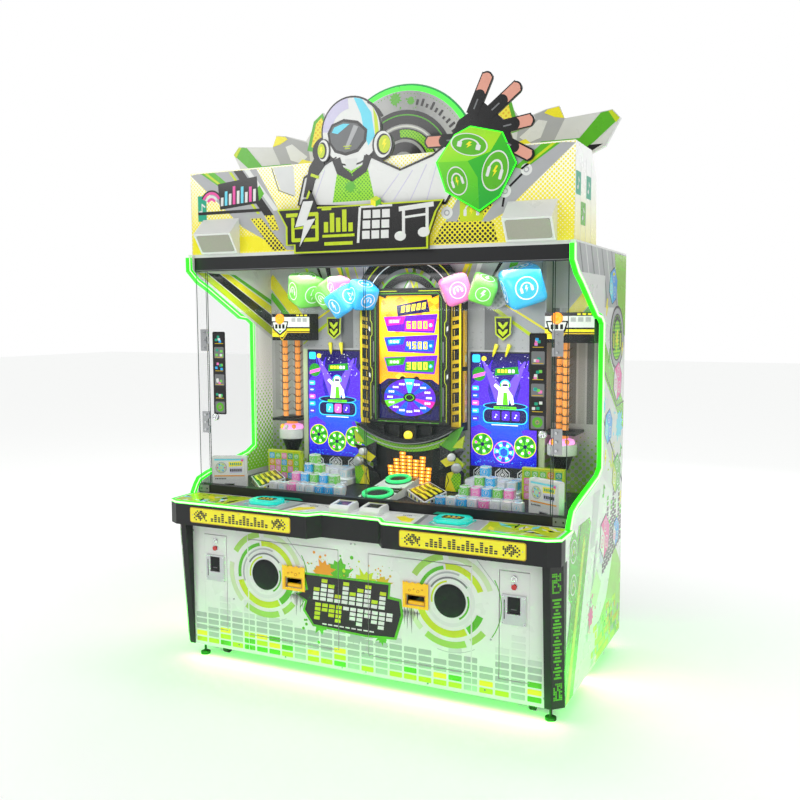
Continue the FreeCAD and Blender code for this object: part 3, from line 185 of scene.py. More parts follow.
M = {
    "white": plain("print_white", "e6e8e5", 0.28, var=0.03, coat=0.3),
    "paper": plain("print_grey_light", "dcdedc", 0.30, var=0.04, coat=0.2),
    "fade": plain("print_grey_faded", "cdcfcf", 0.32, var=0.04, coat=0.2),
    "grey": plain("print_grey", "b0b2b4", 0.32, var=0.05, coat=0.2),
    "steelgrey": plain("print_grey_dark", "77797b", 0.34, var=0.06),
    "black": plain("print_black", "08090a", 0.24, var=0.25, coat=0.3),
    "lime": plain("print_lime", "c6dc06", 0.28, var=0.05, coat=0.3),
    "green": plain("print_green", "56b80c", 0.28, var=0.06, coat=0.3),
    "palegreen": plain("print_green_pale", "a2cf58", 0.30, var=0.06, coat=0.2),
    "mist": plain("print_green_mist", "cfe0b4", 0.30, var=0.05),
    "yellow": plain("print_yellow", "fdf01a", 0.28, var=0.04, coat=0.3),
    "gold": plain("print_gold", "d8b40e", 0.30, var=0.08, coat=0.2),
    "orange": plain("print_orange", "f0a020", 0.30, var=0.06),
    "teal": plain("print_teal", "12a884", 0.30, var=0.05),
    "pink": plain("print_pink", "f04ea8", 0.30, var=0.05, coat=0.3),
    "blue": plain("print_blue", "2a9df0", 0.30, var=0.06, coat=0.3),
    "lilac": plain("print_lilac", "cfcbe6", 0.32, var=0.06, coat=0.2),
    "cyan_print": plain("print_cyan", "6fdcf2", 0.32, var=0.05, coat=0.2),
    "skin": plain("print_tan", "e2a08c", 0.36, var=0.05),
    "satin": plain("satin_black_metal", "1b1c1e", 0.42, metal=0.2, var=0.12, bump=0.25, scale=60),
    "rubber": plain("rubber_black", "101112", 0.72, var=0.12, bump=0.5, scale=120),
    "board": plain("board_black", "141416", 0.5, var=0.15, bump=0.2, scale=45),
    "steel": plain("brushed_steel", "b4b6b8", 0.34, metal=0.95, var=0.10, bump=0.2, scale=18, stretch=(1, 1, 22)),
    "zinc": plain("zinc_sheet", "9a9c9e", 0.45, metal=0.8, var=0.14, bump=0.12, scale=26),
    "bezel": plain("cast_bezel", "c9cbce", 0.36, metal=0.55, var=0.06, bump=0.25, scale=90),
    "chrome": plain("chrome", "e8eaec", 0.12, metal=1.0, var=0.04, bump=0.0),
    # the ticket mouth's yellow glows faintly (emit 0.12) though it is no lamp: painted light
    "ticket": plain("mouth_yellow", "ffc40a", 0.34, var=0.05, bump=0.12, coat=0.25, emit=0.12),
    "ticket_dark": plain("mouth_orange", "c98a06", 0.42, var=0.08),
    "fabric": plain("grille_cloth", "232427", 0.85, var=0.2, bump=0.9, scale=160),
    "horn": plain("horn_cloth", "aaa99c", 0.8, var=0.08, bump=0.8, scale=150),
    "red": plain("button_red", "c8140e", 0.22, var=0.05, coat=0.6),
    "cyan": plain("button_cyan", "0fd6c8", 0.16, var=0.05, coat=0.6, emit=0.35),
    "neon": plain("neon_body", "22e812", 0.35, var=0.05, emit=1.7),
    "core": plain("neon_core", "a8ff98", 0.35, var=0.02, emit=1.9),
    "ring": plain("ring_glow", "2fd878", 0.3, var=0.04, emit=0.7),
    "rim": plain("record_rim", "3fe23a", 0.3, var=0.05, emit=0.9),
    "ring_dark": plain("ring_shadow", "169a48", 0.35, var=0.08, emit=0.3),
    "lamp": plain("cell_orange", "ff9a1e", 0.3, var=0.08, emit=1.5),
    "lamp_hot": plain("cell_hot", "ffd88a", 0.3, var=0.05, emit=2.4),
    "cell_off": plain("cell_off", "2c1a12", 0.4, var=0.2),
    "tube": plain("tube_orange", "f39a45", 0.22, var=0.10, emit=0.55, coat=0.5),
    "bristle": plain("bristle_wire", "6b5a46", 0.3, metal=0.6, var=0.15),
    "pinkglow": plain("drum_glow", "ff9fe6", 0.3, var=0.05, emit=1.0),
    # the amber strips glow faintly (emit 0.10) though they are no lamps: painted light
    "amber": plain("amber_acrylic", "c79a08", 0.18, var=0.10, coat=0.6, emit=0.10),
    "glass": plain("clear_glass", "7d8a88", 0.04, var=0.01, bump=0.0, alpha=0.035),
    "edge": plain("glass_edge", "16352c", 0.12, var=0.10, bump=0.0, coat=0.4),
    "cube_white": plain("cube_white", "eef2f4", 0.2, var=0.04, coat=0.4),
    # cube_blue, cube_pink and cube_green glow faintly (emit 0.06) though the cubes are no lamps: painted light
    "cube_blue": plain("cube_blue", "35b0f2", 0.2, var=0.06, coat=0.4, emit=0.06),
    "cube_pink": plain("cube_pink", "f27cc0", 0.2, var=0.06, coat=0.4, emit=0.06),
    "cube_green": plain("cube_green", "74d052", 0.2, var=0.06, coat=0.4, emit=0.06),
    # side_dots glows faintly (emit 0.12) on the inner walls, which hold no lamp: painted light that brightens the
    # play chamber
    "side_dots": dotted("side_dots", "f0f2ee", "86d41c", 0.022, "yz", "Z", (0.82, 1.5), (0.62, 0.0), emit=0.12),
    "wall_dots": dotted("wall_dots", "c4c6c8", "98c832", 0.026, "xz", "Z", (0.82, 1.16), (0.55, 0.0)),
    "header_dots": dotted("header_dots", "9a9c9e", "85878a", 0.02, "xz", "Z", (1.5, 1.9), (0.2, 0.4)),
    # marquee_dots, marquee_side and black_dots glow faintly (emit 0.10, 0.08, 0.05) though they are prints, no lamp:
    # painted light
    "marquee_dots": dotted("marquee_dots", "fbfbe6", "f2e53a", 0.013, "xz", "Z", (1.96, 2.36), (0.62, 0.26),
                           emit=0.10),
    "marquee_side": faded("marquee_side", ["f4ee7c", "f8f4c0", "fbfbee", "ffffff"], "Z", 1.95, 2.3, emit=0.08),
    "black_dots": dotted("black_dots", "f0e430", "15160c", 0.016, "xz", "Z", (1.97, 2.15), (0.42, 0.2), emit=0.05),
    "gold_dots": dotted("gold_dots", "fff23c", "f2c400", 0.018, "xz", "Z", (2.2, 2.7), (0.3, 0.3)),
    # lime_dots glows faintly (emit 0.10) though it is print, no lamp: painted light
    "lime_dots": dotted("lime_dots", "9adc14", "4ba808", 0.012, "xz", "Z", (0.8, 1.2), (0.34, 0.34), emit=0.10),
    "sc_bg": faded("display_ground", ["16108a", "1c1ed0", "1446e0", "2a1cc0", "2a0f8c", "150a50"], "Z", 0.93, 1.5,
                   0.15, 0.95),
    "sc_fire": faded("display_fire", ["241018", "ffb400", "ff8c12", "ffd21e", "ffb81e"], "Z", 1.15, 1.76, 0.15, 1.0),
    # the printed cube's three faces glow faintly (emit 0.12) though they are print, no lamp: painted light
    "cubetop": faded("big_cube_top", ["7ada14", "a0dc12", "8ed812"], "Z", 2.3, 2.45, 0.25, 0.12),
    "cubeleft": faded("big_cube_left", ["2cb41a", "6fce10"], "Z", 2.1, 2.38, 0.25, 0.12),
    "cuberight": faded("big_cube_right", ["14a030", "2fb414"], "Z", 2.1, 2.4, 0.25, 0.12),
    "sidegreen": faded("side_green", ["3f9a08", "6cc012", "8ecf1c"], "Z", 0.1, 1.9),
    "metalgrey": faded("record_grey", ["8d8f91", "c6c8ca", "9a9c9e", "cfd1d2"], "X", -0.4, 0.38),
}

# Lit colours of the displays: key, name, colour, variation, glow.
for key, name, hexes, var, glow in (
        ("dark", "dark", "100a48", 0.15, 0.9), ("violet", "violet", "4a22c8", 0.12, 1.0),
        ("beam", "beam", "6a4af0", 0.12, 1.0), ("cyan", "cyan", "2fc8ff", 0.06, 1.1),
        ("blue", "blue", "0f4fd0", 0.10, 1.0), ("pink", "pink", "ff5fd2", 0.06, 1.1),
        ("white", "white", "f2f6ff", 0.03, 1.0), ("green", "green", "5ad018", 0.08, 1.0),
        ("deepgreen", "green_deep", "1c8a1c", 0.10, 0.9), ("purple", "purple", "5a16b8", 0.08, 1.0),
        ("magenta", "magenta", "c0189a", 0.08, 1.0), ("orange", "orange", "ff8c12", 0.06, 1.0),
        ("yellow", "yellow", "ffe23a", 0.04, 1.0)):
    M["sc_" + key] = plain("display_" + name, hexes, 0.15, var=var, emit=glow)

# What the CAD nodes look like where they show.
NODE_LOOK = {
    "satin": "base_frame corner_posts fascia bottom_rail top_beam coin_flap_left coin_flap_right prize_hopper",
    "board": "floor_board rear_panel rear_door playfield_table screens centre_column centre_frame tower_signs "
             "power_inlet",
    "white": "side_panel_left side_panel_right front_panel deck_fittings main_door_left main_door_right "
             "coin_door_left coin_door_right deck_islands reader_boxes upper_speakers",
    "neon": "light_strips",
    "paper": "roof_board control_deck topper_board",
    "glass": "fixed_glass glass_door_left glass_door_right",
    "steel": "hinge_plates",
    "red": "reject_button_left reject_button_right",
    "cube_white": "pusher_left pusher_right cubes",
    "cyan": "player_button_left player_button_right",
    "zinc": "pusher_motors electronics ticket_dispensers coin_boxes caster_brackets",
    "lime": "cube_racks",
    "wall_dots": "back_wall",
    "header_dots": "wall_signs",
    "tube": "coin_towers",
    "marquee_dots": "marquee_box",
    "black": "figure_board title_board",
    "rubber": "levelling_feet wheel_front_left wheel_front_right wheel_rear_left wheel_rear_right",
}
for look, names in NODE_LOOK.items():
    for name in names.split():
        mesh = frame["nodes"][name].data
        mesh.materials.clear()
        mesh.materials.append(M[look])


# ---------------------------------------------------------------- mesh tools
def linked(name, data):
    obj = bpy.data.objects.new(name, data)
    bpy.context.scene.collection.objects.link(obj)
    return obj


def riding(name, data, body):
    """A new object that moves with a body."""
    obj = linked(name, data)
    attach(obj, body)
    return obj


def make_object(name, verts, faces, mats, index, body):
    mesh = bpy.data.meshes.new(name)
    mesh.from_pydata([tuple(v) for v in verts], [], faces)
    for key in mats:
        mesh.materials.append(M[key])
    mesh.polygons.foreach_set("material_index", index)
    mesh.update()
    return riding(name, mesh, body)


def clip(points, box):
    """Part of a polygon inside (x0, x1, y0, y1)."""
    for axis, limit, keep in ((0, box[0], 1), (0, box[1], -1), (1, box[2], 1), (1, box[3], -1)):
        out = []
        for k, p in enumerate(points):
            q = points[k - 1]
            dp, dq = keep * (p[axis] - limit), keep * (q[axis] - limit)
            if (dp >= 0) != (dq >= 0):
                t = dq / (dq - dp)
                out.append((q[0] + t * (p[0] - q[0]), q[1] + t * (p[1] - q[1])))
            if dp >= 0:
                out.append(p)
        points = out
        if len(points) < 3:
            return []
    return points


class Art:
    """Thin printed shapes on a plane. Millimetres; later shapes lie a step higher where asked."""

    def __init__(self, name, body, origin, plane, step=0.35, box=None):
        self.name, self.body, self.step, self.box = name, body, step, box
        self.o = Vector(origin) / 1000
        self.u, self.v = Vector(plane[0]).normalized(), Vector(plane[1]).normalized()
        self.n = self.u.cross(self.v)
        self.verts, self.faces, self.mats, self.index, self.count = [], [], [], [], 0

    def poly(self, points, look, layer=0, thick=None):
        if self.box:
            points = clip(points, self.box)
        if len(points) < 3:
            return self
        area = sum(a[0] * b[1] - b[0] * a[1] for a, b in zip(points, points[1:] + points[:1]))
        if abs(area) < 0.5:
            return self
        if area < 0:
            points = points[::-1]
        if look not in self.mats:
            self.mats.append(look)
        self.count += 1
        high = (thick if thick is not None else (layer + 1) * self.step) / 1000 + self.count % 14 * 0.000018
        start, count = len(self.verts), len(points)
        for lift in (high, 0.0):
            for x, y in points:
                self.verts.append(self.o + self.u * (x / 1000) + self.v * (y / 1000) + self.n * lift)
        self.faces.append(list(range(start, start + count)))
        for k in range(count):
            j = (k + 1) % count
            self.faces.append([start + j, start + k, start + count + k, start + count + j])
        self.index += [self.mats.index(look)] * (count + 1)
        return self

    def rect(self, x0, x1, y0, y1, look, layer=0, r=0.0, thick=None):
        if not r:
            return self.poly([(x0, y0), (x1, y0), (x1, y1), (x0, y1)], look, layer, thick)
        points = []
        for cx, cy, a in ((x1 - r, y0 + r, -90), (x1 - r, y1 - r, 0), (x0 + r, y1 - r, 90), (x0 + r, y0 + r, 180)):
            for k in range(5):
                t = math.radians(a + 22.5 * k)
                points.append((cx + r * math.cos(t), cy + r * math.sin(t)))
        return self.poly(points, look, layer, thick)

    def disc(self, cx, cy, r, look, layer=0, thick=None, sides=40, squash=1.0):
        turn = 2 * math.pi / sides
        return self.poly([(cx + r * math.cos(k * turn), cy + squash * r * math.sin(k * turn)) for k in range(sides)],
                         look, layer, thick)

    def arc(self, cx, cy, r0, r1, a0, a1, look, layer=0, thick=None, squash=1.0):
        count = max(2, int(abs(a1 - a0) / 6))
        ring = [math.radians(a0 + (a1 - a0) * k / count) for k in range(count + 1)]
        points = [(cx + r1 * math.cos(t), cy + squash * r1 * math.sin(t)) for t in ring]
        points += [(cx + r0 * math.cos(t), cy + squash * r0 * math.sin(t)) for t in reversed(ring)]
        return self.poly(points, look, layer, thick)

    def ring(self, cx, cy, r0, r1, look, layer=0, thick=None, squash=1.0):
        for a in (0, 120, 240):
            self.arc(cx, cy, r0, r1, a, a + 120, look, layer, thick, squash)
        return self

    def line(self, points, width, look, layer=0, thick=None):
        for (ax, ay), (bx, by) in zip(points, points[1:]):
            dx, dy = bx - ax, by - ay
            d = math.hypot(dx, dy) or 1
            nx, ny = -dy / d * width / 2, dx / d * width / 2
            ex, ey = dx / d * width * 0.3, dy / d * width * 0.3
            self.poly([(ax + nx - ex, ay + ny - ey), (bx + nx + ex, by + ny + ey),
                       (bx - nx + ex, by - ny + ey), (ax - nx - ex, ay - ny - ey)], look, layer, thick)
        return self

    def splat(self, cx, cy, r, look, seed, layer=0, drops=8):
        draw = random.Random(seed)
        points = []
        for k in range(22):
            t = 2 * math.pi * k / 22
            s = r * (1.0 + (draw.uniform(0.0, 0.55) if k % 2 else draw.uniform(-0.3, 0.0)))
            points.append((cx + s * math.cos(t), cy + s * math.sin(t)))
        self.poly(points, look, layer)
        for _ in range(drops):
            t, s = draw.uniform(0, 6.3), r * draw.uniform(1.5, 2.4)
            self.disc(cx + s * math.cos(t), cy + s * math.sin(t), r * draw.uniform(0.06, 0.18), look, layer, sides=10)
        return self

    def bolt(self, cx, cy, s, look, layer=0, lean=1):
        pts = [(-0.10, 1.0), (-0.55, -0.12), (-0.08, -0.06), (-0.32, -1.0), (0.52, 0.22), (0.06, 0.16), (0.42, 1.0)]
        return self.poly([(cx + lean * x * s, cy + y * s) for x, y in pts], look, layer)

    def note(self, cx, cy, s, look, layer=0):
        self.disc(cx - 0.35 * s, cy - 0.6 * s, 0.34 * s, look, layer, sides=16, squash=0.8)
        self.rect(cx - 0.13 * s, cx + 0.02 * s, cy - 0.6 * s, cy + 0.8 * s, look, layer)
        return self.poly([(cx + 0.02 * s, cy + 0.8 * s), (cx + 0.6 * s, cy + 0.35 * s), (cx + 0.55 * s, cy + 0.1 * s),
                          (cx + 0.02 * s, cy + 0.45 * s)], look, layer)

    def phones(self, cx, cy, s, look, mark, layer=0):
        self.arc(cx, cy, 0.62 * s, 0.78 * s, 10, 170, look, layer)
        for side in (-1, 1):
            self.rect(cx + side * 0.7 * s - 0.17 * s, cx + side * 0.7 * s + 0.17 * s, cy - 0.5 * s, cy + 0.2 * s,
                      look, layer, r=0.1 * s)
        return self.bolt(cx, cy - 0.05 * s, 0.42 * s, mark, layer)

    def pixels(self, cx, cy, cell, rows, look, layer=0):
        """Rows of # marks drawn as square cells, centred."""
        for j, row in enumerate(rows):
            for i, mark in enumerate(row):
                if mark == "#":
                    x = cx + (i - len(row) / 2) * cell
                    y = cy + (len(rows) / 2 - j - 1) * cell
                    self.rect(x + 0.07 * cell, x + 0.93 * cell, y + 0.07 * cell, y + 0.93 * cell, look, layer)
        return self

    def digits(self, text, x, y, w, h, t, look, layer=0):
        segs = {"0": "abcdef", "1": "bc", "2": "abged", "3": "abgcd", "4": "fgbc", "5": "afgcd", "6": "afgedc",
                "7": "abc", "8": "abcdefg", "9": "abcdfg"}
        for k, ch in enumerate(text):
            a = x + k * (w + t + 3)
            for s in segs[ch]:
                spot = {"a": (a, a + w, y + h - t, y + h), "d": (a, a + w, y, y + t),
                        "g": (a, a + w, y + h / 2 - t / 2, y + h / 2 + t / 2),
                        "b": (a + w - t, a + w, y + h / 2, y + h), "c": (a + w - t, a + w, y, y + h / 2),
                        "f": (a, a + t, y + h / 2, y + h), "e": (a, a + t, y, y + h / 2)}[s]
                self.rect(*spot, look, layer)
        return self

    def take(self, other):
        """Adds the shapes of another sheet, as they stand."""
        start = len(self.verts)
        self.verts += other.verts
        self.faces += [[i + start for i in f] for f in other.faces]
        self.mats += [key for key in other.mats if key not in self.mats]
        self.index += [self.mats.index(other.mats[i]) for i in other.index]

    def build(self):
        if self.faces:
            return make_object(self.name, self.verts, self.faces, self.mats, self.index, self.body)


def mirrored(s, points):
    """Points of the right side, or their mirror image where s is -1."""
    return [(s * x, y) for x, y in points]


def tube(name, points, radius, look, body, closed=False):
    curve = bpy.data.curves.new(name, "CURVE")
    curve.dimensions = "3D"
    curve.bevel_depth = radius / 1000
    curve.bevel_resolution = 3
    spline = curve.splines.new("POLY")
    spline.points.add(len(points) - 1)
    for k, p in enumerate(points):
        spline.points[k].co = (p[0] / 1000, p[1] / 1000, p[2] / 1000, 1)
    spline.use_cyclic_u = closed
    curve.use_fill_caps = True
    curve.materials.append(M[look])
    return riding(name, curve, body)


def ball_profile(r, count):
    """Half a circle from pole to pole, kept off the axis."""
    return [(r * math.sin(math.pi * k / count) + 0.01, -r * math.cos(math.pi * k / count)) for k in range(count + 1)]


def lathe(name, profile, centre, axis, look, body, sides=48):
    """Profile of (radius, height) turned round an axis, in millimetres."""
    axis = Vector(axis).normalized()
    side = axis.orthogonal().normalized()
    other = axis.cross(side)
    verts, faces = [], []
    for r, h in profile:
        for k in range(sides):
            t = 2 * math.pi * k / sides
            verts.append((Vector(centre) + axis * h + (side * math.cos(t) + other * math.sin(t)) * r) / 1000)
    for j in range(len(profile) - 1):
        for k in range(sides):
            n = (k + 1) % sides
            faces.append([j * sides + k, j * sides + n, (j + 1) * sides + n, (j + 1) * sides + k])
    faces.append(list(range(sides))[::-1])
    faces.append(list(range((len(profile) - 1) * sides, len(profile) * sides)))
    obj = make_object(name, verts, faces, [look], [0] * len(faces), body)
    for p in obj.data.polygons[:-2]:
        p.use_smooth = True
    return obj


def soft_box(name, lo, hi, bevel, look, body, turn=None):
    """Box with rounded edges; turn is a 4x4 matrix in metres."""
    bm = bmesh.new()
    bmesh.ops.create_cube(bm, size=1.0)
    size = [(b - a) / 1000 for a, b in zip(lo, hi)]
    mid = [(b + a) / 2000 for a, b in zip(lo, hi)]
    bmesh.ops.scale(bm, vec=size, verts=bm.verts)
    bmesh.ops.bevel(bm, geom=bm.edges[:], offset=bevel / 1000, segments=3, profile=0.5, affect="EDGES")
    bmesh.ops.translate(bm, vec=mid, verts=bm.verts)
    if turn is not None:
        bmesh.ops.transform(bm, matrix=turn, verts=bm.verts)
    mesh = bpy.data.meshes.new(name)
    bm.to_mesh(mesh)
    bm.free()
    for p in mesh.polygons:
        p.use_smooth = len(p.vertices) > 4 or p.area < 1e-4
    mesh.materials.append(M[look])
    return riding(name, mesh, body)


# ---------------------------------------------------------------- lower front
def front_regions():
    """Each flat piece of the lower front: (name, body, rectangle)."""
    out = []
    for side, s in (LEFT, RIGHT):
        def add(body, x0, x1, z0, z1):
            a, b = sorted((s * x0, s * x1))
            out.append(("front_print_%s_%d" % (side, len(out)), body, (a, b, z0, z1)))
        add("cabinet", 811, 877, 80, 687)
        add("cabinet", 563, 680, 80, 687)
        for x0, x1 in ((680, 811), (74, 560)):
            add("cabinet", x0, x1, 80, 169)
            add("cabinet", x0, x1, 631, 687)
        add("cabinet", 0, 74, 80, 687)
        body = "coin_door_" + side
        add(body, 683, 694, 172, 628)
        add(body, 799, 810, 172, 628)
        add(body, 694, 799, 172, 407)
        add(body, 694, 799, 534, 628)
        body = "main_door_" + side
        add(body, 77, 249, 172, 628)
        add(body, 363, 556.5, 172, 628)
        add(body, 249, 363, 172, 420)
        add(body, 249, 363, 522, 628)
    return out


class Through(Art):
    """All of Art's shapes, each changed by a function on its way to another sheet."""

    def __init__(self, sheet, change):
        self.sheet, self.change = sheet, change

    def poly(self, points, look, layer=0, thick=None):
        points = self.change(points)
        if len(points) > 2:
            self.sheet.poly(points, look, layer, thick)
        return self


class Spread:
    """Sends every shape to all the flat pieces it crosses."""

    def __init__(self, parts):
        self.parts = parts

    def __getattr__(self, call):
        def each(*args, **kw):
            for part in self.parts:
                getattr(part, call)(*args, **kw)
            return self
        return each


def level_bars(front):
    """Equaliser blocks along the foot."""
    draw = random.Random(5)
    columns = [5, 6, 8, 6, 8, 6, 7, 6, 5, 5, 6, 6, 5, 6, 5, 6, 5, 5, 4, 6, 5, 4, 7, 9, 6]
    for k in range(25):
        x0 = -866 + k * 69.6
        lit = draw.choice((0, 1, 1, 2, 2, 3))
        for row in range(columns[k]):
            z0 = 96 + row * 30.5
            look = "fade" if row > 4 else "grey"
            if row < lit:
                look = ("lime", "yellow", "green")[(row + k) % 3] if row else ("green" if lit == 3 else "lime")
            if row > 5:
                look = "paper"
            front.rect(x0, x0 + 60, z0, z0 + 23, look, 0, r=4)


def sound_rings(front):
    """Sound rings round each speaker."""
    for cx in (-SPEAKER_X, SPEAKER_X):
        front.disc(cx, SPEAKER_Z, 112, "paper", 0)
        front.ring(cx, SPEAKER_Z, 74, 96, "white", 1)
        for r0, r1, a0, a1, look, layer in (
                (96, 104, 40, 150, "steelgrey", 2), (80, 88, -60, 20, "green", 2), (80, 88, 100, 190, "lime", 2),
                (118, 126, 70, 200, "grey", 1), (134, 160, 22, 98, "lime", 1), (136, 152, 102, 190, "green", 1),
                (128, 158, 196, 300, "lime", 1), (128, 158, 304, 340, "green", 1),
                (176, 204, 100, 150, "palegreen", 1), (176, 204, 235, 292, "palegreen", 1),
                (176, 204, 300, 322, "palegreen", 1), (178, 202, 20, 92, "mist", 0),
                (178, 202, 168, 226, "mist", 0), (226, 230, -35, 30, "green", 1), (222, 224, 255, 300, "grey", 1)):
            front.arc(cx, SPEAKER_Z, r0, r1, a0, a1, look, layer)
        front.line([(cx + 120, 660), (cx + 205, 560)], 2.2, "grey", 1)


def splash_block(front):
    """Splash and black block in the middle, with bars in place of words."""
    for x, z, r, look, seed in ((-150, 520, 46, "orange", 1), (-70, 528, 50, "green", 2), (60, 500, 48, "lime", 3),
                                (-170, 290, 44, "green", 4), (20, 262, 40, "grey", 6), (140, 262, 26, "green", 7),
                                (150, 500, 34, "gold", 8)):
        front.splat(x, z, r, look, seed, 0)
    front.poly([(-262, 508), (186, 512), (180, 452), (236, 446), (246, 372), (212, 262), (60, 252), (-210, 262),
                (-262, 330), (-250, 372), (-300, 404), (-244, 424)], "green", 1)
    front.poly([(-250, 498), (176, 502), (170, 440), (226, 436), (234, 376), (202, 272), (58, 262), (-204, 272),
                (-250, 334), (-238, 378), (-286, 402), (-232, 430)], "black", 2)
    heights = (3, 5, 4, 2, 5, 3, 4, 5, 2, 4)
    for k, count in enumerate(heights):
        for row in range(count):
            x = -208 + k * 37 + row * 2.4
            front.poly([(x, 388 + row * 21), (x + 30, 388 + row * 21), (x + 32, 404 + row * 21),
                        (x + 2, 404 + row * 21)], "white" if row < count - 1 else "lime", 3)
    for k, count in enumerate((4, 2, 3, 4, 1, 3, 4, 2, 3, 4, 2)):
        for row in range(count):
            x = -196 + k * 36 - row * 2.4
            look = "lime" if k < 4 else "white"
            front.poly([(x, 360 - row * 21), (x + 29, 360 - row * 21), (x + 31, 376 - row * 21),
                        (x + 2, 376 - row * 21)], look, 3)
    for k in range(9):
        front.rect(-160 + k * 30, -138 + k * 30, 278, 284, "white", 3)
    for side in (-1, 1):
        for k in range(13):
            high = (8, 22, 60, 34, 78, 28, 52, 96, 40, 24, 16, 30, 10)[k]
            x = side * 236 + side * k * 7 - (12 if side < 0 else 0)
            front.poly([(x - 2.4, 396), (x, 396 + high * 0.4), (x + 2.4, 396), (x, 396 - high)], "black", 1)
    draw = random.Random(8)
    for _ in range(46):
        x, z = draw.uniform(-230, 210), draw.uniform(500, 580)
        front.disc(x, z, draw.uniform(1.2, 4), draw.choice(("lime", "orange", "green", "grey")), 0, sides=9)


def speaker_and_mouth(side, s):
    """Speaker cloth and rim, and the ticket mouth's face."""
    door = "main_door_" + side
    lathe("speaker_cloth_" + side, [(68, 0), (68, 3), (65, 4.2), (40, 5.2), (12, 5.6), (0.5, 5.7)],
          (s * SPEAKER_X, PANEL_Y, SPEAKER_Z), (0, -1, 0), "fabric", door)
    lathe("speaker_rim_" + side, [(72, 0), (72, 2.2), (70.5, 3.4), (68.5, 3.4), (68.2, 1)],
          (s * SPEAKER_X, PANEL_Y, SPEAKER_Z), (0, -1, 0), "satin", door)
    mouth = Art("ticket_face_" + side, door, (s * MOUTH_X, -501, 471), FRONT)
    crown = [(-60, 46), (-60, 62), (-50, 56), (-42, 62), (-30, 54), (-14, 61), (0, 55), (14, 62), (30, 54),
             (44, 62), (52, 56), (60, 61), (60, 46)]
    mouth.poly(crown, "ticket", thick=2.5)
    mouth.poly([(-60, -54), (60, -54), (60, -42), (-60, -42)], "ticket", thick=2.5)
    for a, b in ((-60, -47), (47, 60)):
        mouth.poly([(a, -42), (b, -42), (b, 46), (a, 46)], "ticket", thick=2.5)
    mouth.poly([(-47, 8), (47, 8), (47, 46), (-47, 46)], "ticket", thick=2.0)
    for x, z, r in ((-28, 24, 6), (-8, 30, 4), (12, 22, 7), (32, 31, 4)):
        mouth.ring(x, z, r - 2, r, "ticket_dark", thick=2.8)
    mouth.poly([(-47, -42), (-41, -42), (-41, 8), (-47, 8)], "ticket_dark", thick=0.5)
    mouth.poly([(41, -42), (47, -42), (47, 8), (41, 8)], "ticket_dark", thick=0.5)
    mouth.poly([(-41, 2), (41, 2), (41, 8), (-41, 8)], "ticket_dark", thick=0.5)
    mouth.build()
    soft_box("ticket_shelf_" + side, (s * MOUTH_X - 40, -494, 430), (s * MOUTH_X + 40, -478, 446), 4, "ticket", door)


def coin_parts(side, s):
    """Plate, lock, reject ring and flap grip of a coin door."""
    coin = "coin_door_" + side
    plate = Art("coin_plate_" + side, coin, (s * COIN_X, -501, 470), FRONT)
    for x0, x1, z0, z1 in ((-51, -28, -62, 63), (28, 51, -62, 63), (-28, 28, -62, -17.5), (-28, 28, 55, 63)):
        plate.rect(x0, x1, z0, z1, "bezel", thick=1.2)
    plate.rect(-42.5, -38.5, -40, 40, "black", thick=1.4)
    plate.rect(-28, 28, -17.5, -12, "black", thick=1.0)
    for x, z in ((-46, -55), (46, -55), (-46, 56), (46, 56)):
        plate.disc(x, z, 4, "chrome", thick=2.4, sides=14)
        plate.rect(x - 2.6, x + 2.6, z - 0.5, z + 0.5, "black", thick=2.6)
    plate.build()
    lathe("lock_face_" + side, [(14, 0), (14, 3.5), (12.5, 5.2), (9, 5.6), (8.6, 4.6), (4, 4.6), (3.8, 6.4),
                                (0.5, 6.4)],
          (s * COIN_X, PANEL_Y, 600), (0, -1, 0), "chrome", coin)
    lathe("reject_ring_" + side, [(15, 0), (15, 1.6), (13.8, 2.6), (12.2, 2.6), (12.0, 0.6)],
          (s * COIN_X, PANEL_Y, 566), (0, -1, 0), "chrome", coin)
    cap = Art("flap_grip_" + side, "coin_flap_" + side, (s * COIN_X, -500, 461), FRONT)
    cap.rect(-21, 21, 4, 58, "fabric", thick=0.7, r=4)
    cap.rect(-12, 12, 10, 13, "steelgrey", thick=1.1)
    cap.build()


def panel_screws(side, s):
    """Screws of the front panel."""
    for k, (x, z) in enumerate(((-10, 664), (310, 664), (600, 664), (600, 110), (40, 92), (340, 92), (855, 120),
                                (855, 640), (625, 330))):
        lathe("panel_screw_%s_%d" % (side, k), [(4.4, 0), (4.2, 1.2), (2.6, 2.0), (0.4, 2.1)],
              (s * (x + 20), PANEL_Y, z), (0, -1, 0), "steelgrey" if k % 2 else "steel", "cabinet", 16)


def lower_front():
    """Prints and small parts of the lower front: level bars, sound rings, black block, mouths, coin doors."""
    front = Spread([Art(n, b, (0, PANEL_Y, 0), FRONT, box=r) for n, b, r in front_regions()])
    level_bars(front)
    sound_rings(front)
    splash_block(front)
    front.build()
    for side, s in (LEFT, RIGHT):
        speaker_and_mouth(side, s)
        coin_parts(side, s)
        panel_screws(side, s)


# ---------------------------------------------------------------- fascia, posts and deck
CLUSTER = ["..#.##...", ".#.####.#", "#.##.####", ".####.##.", "#..###.#.", ".#..#...#"]


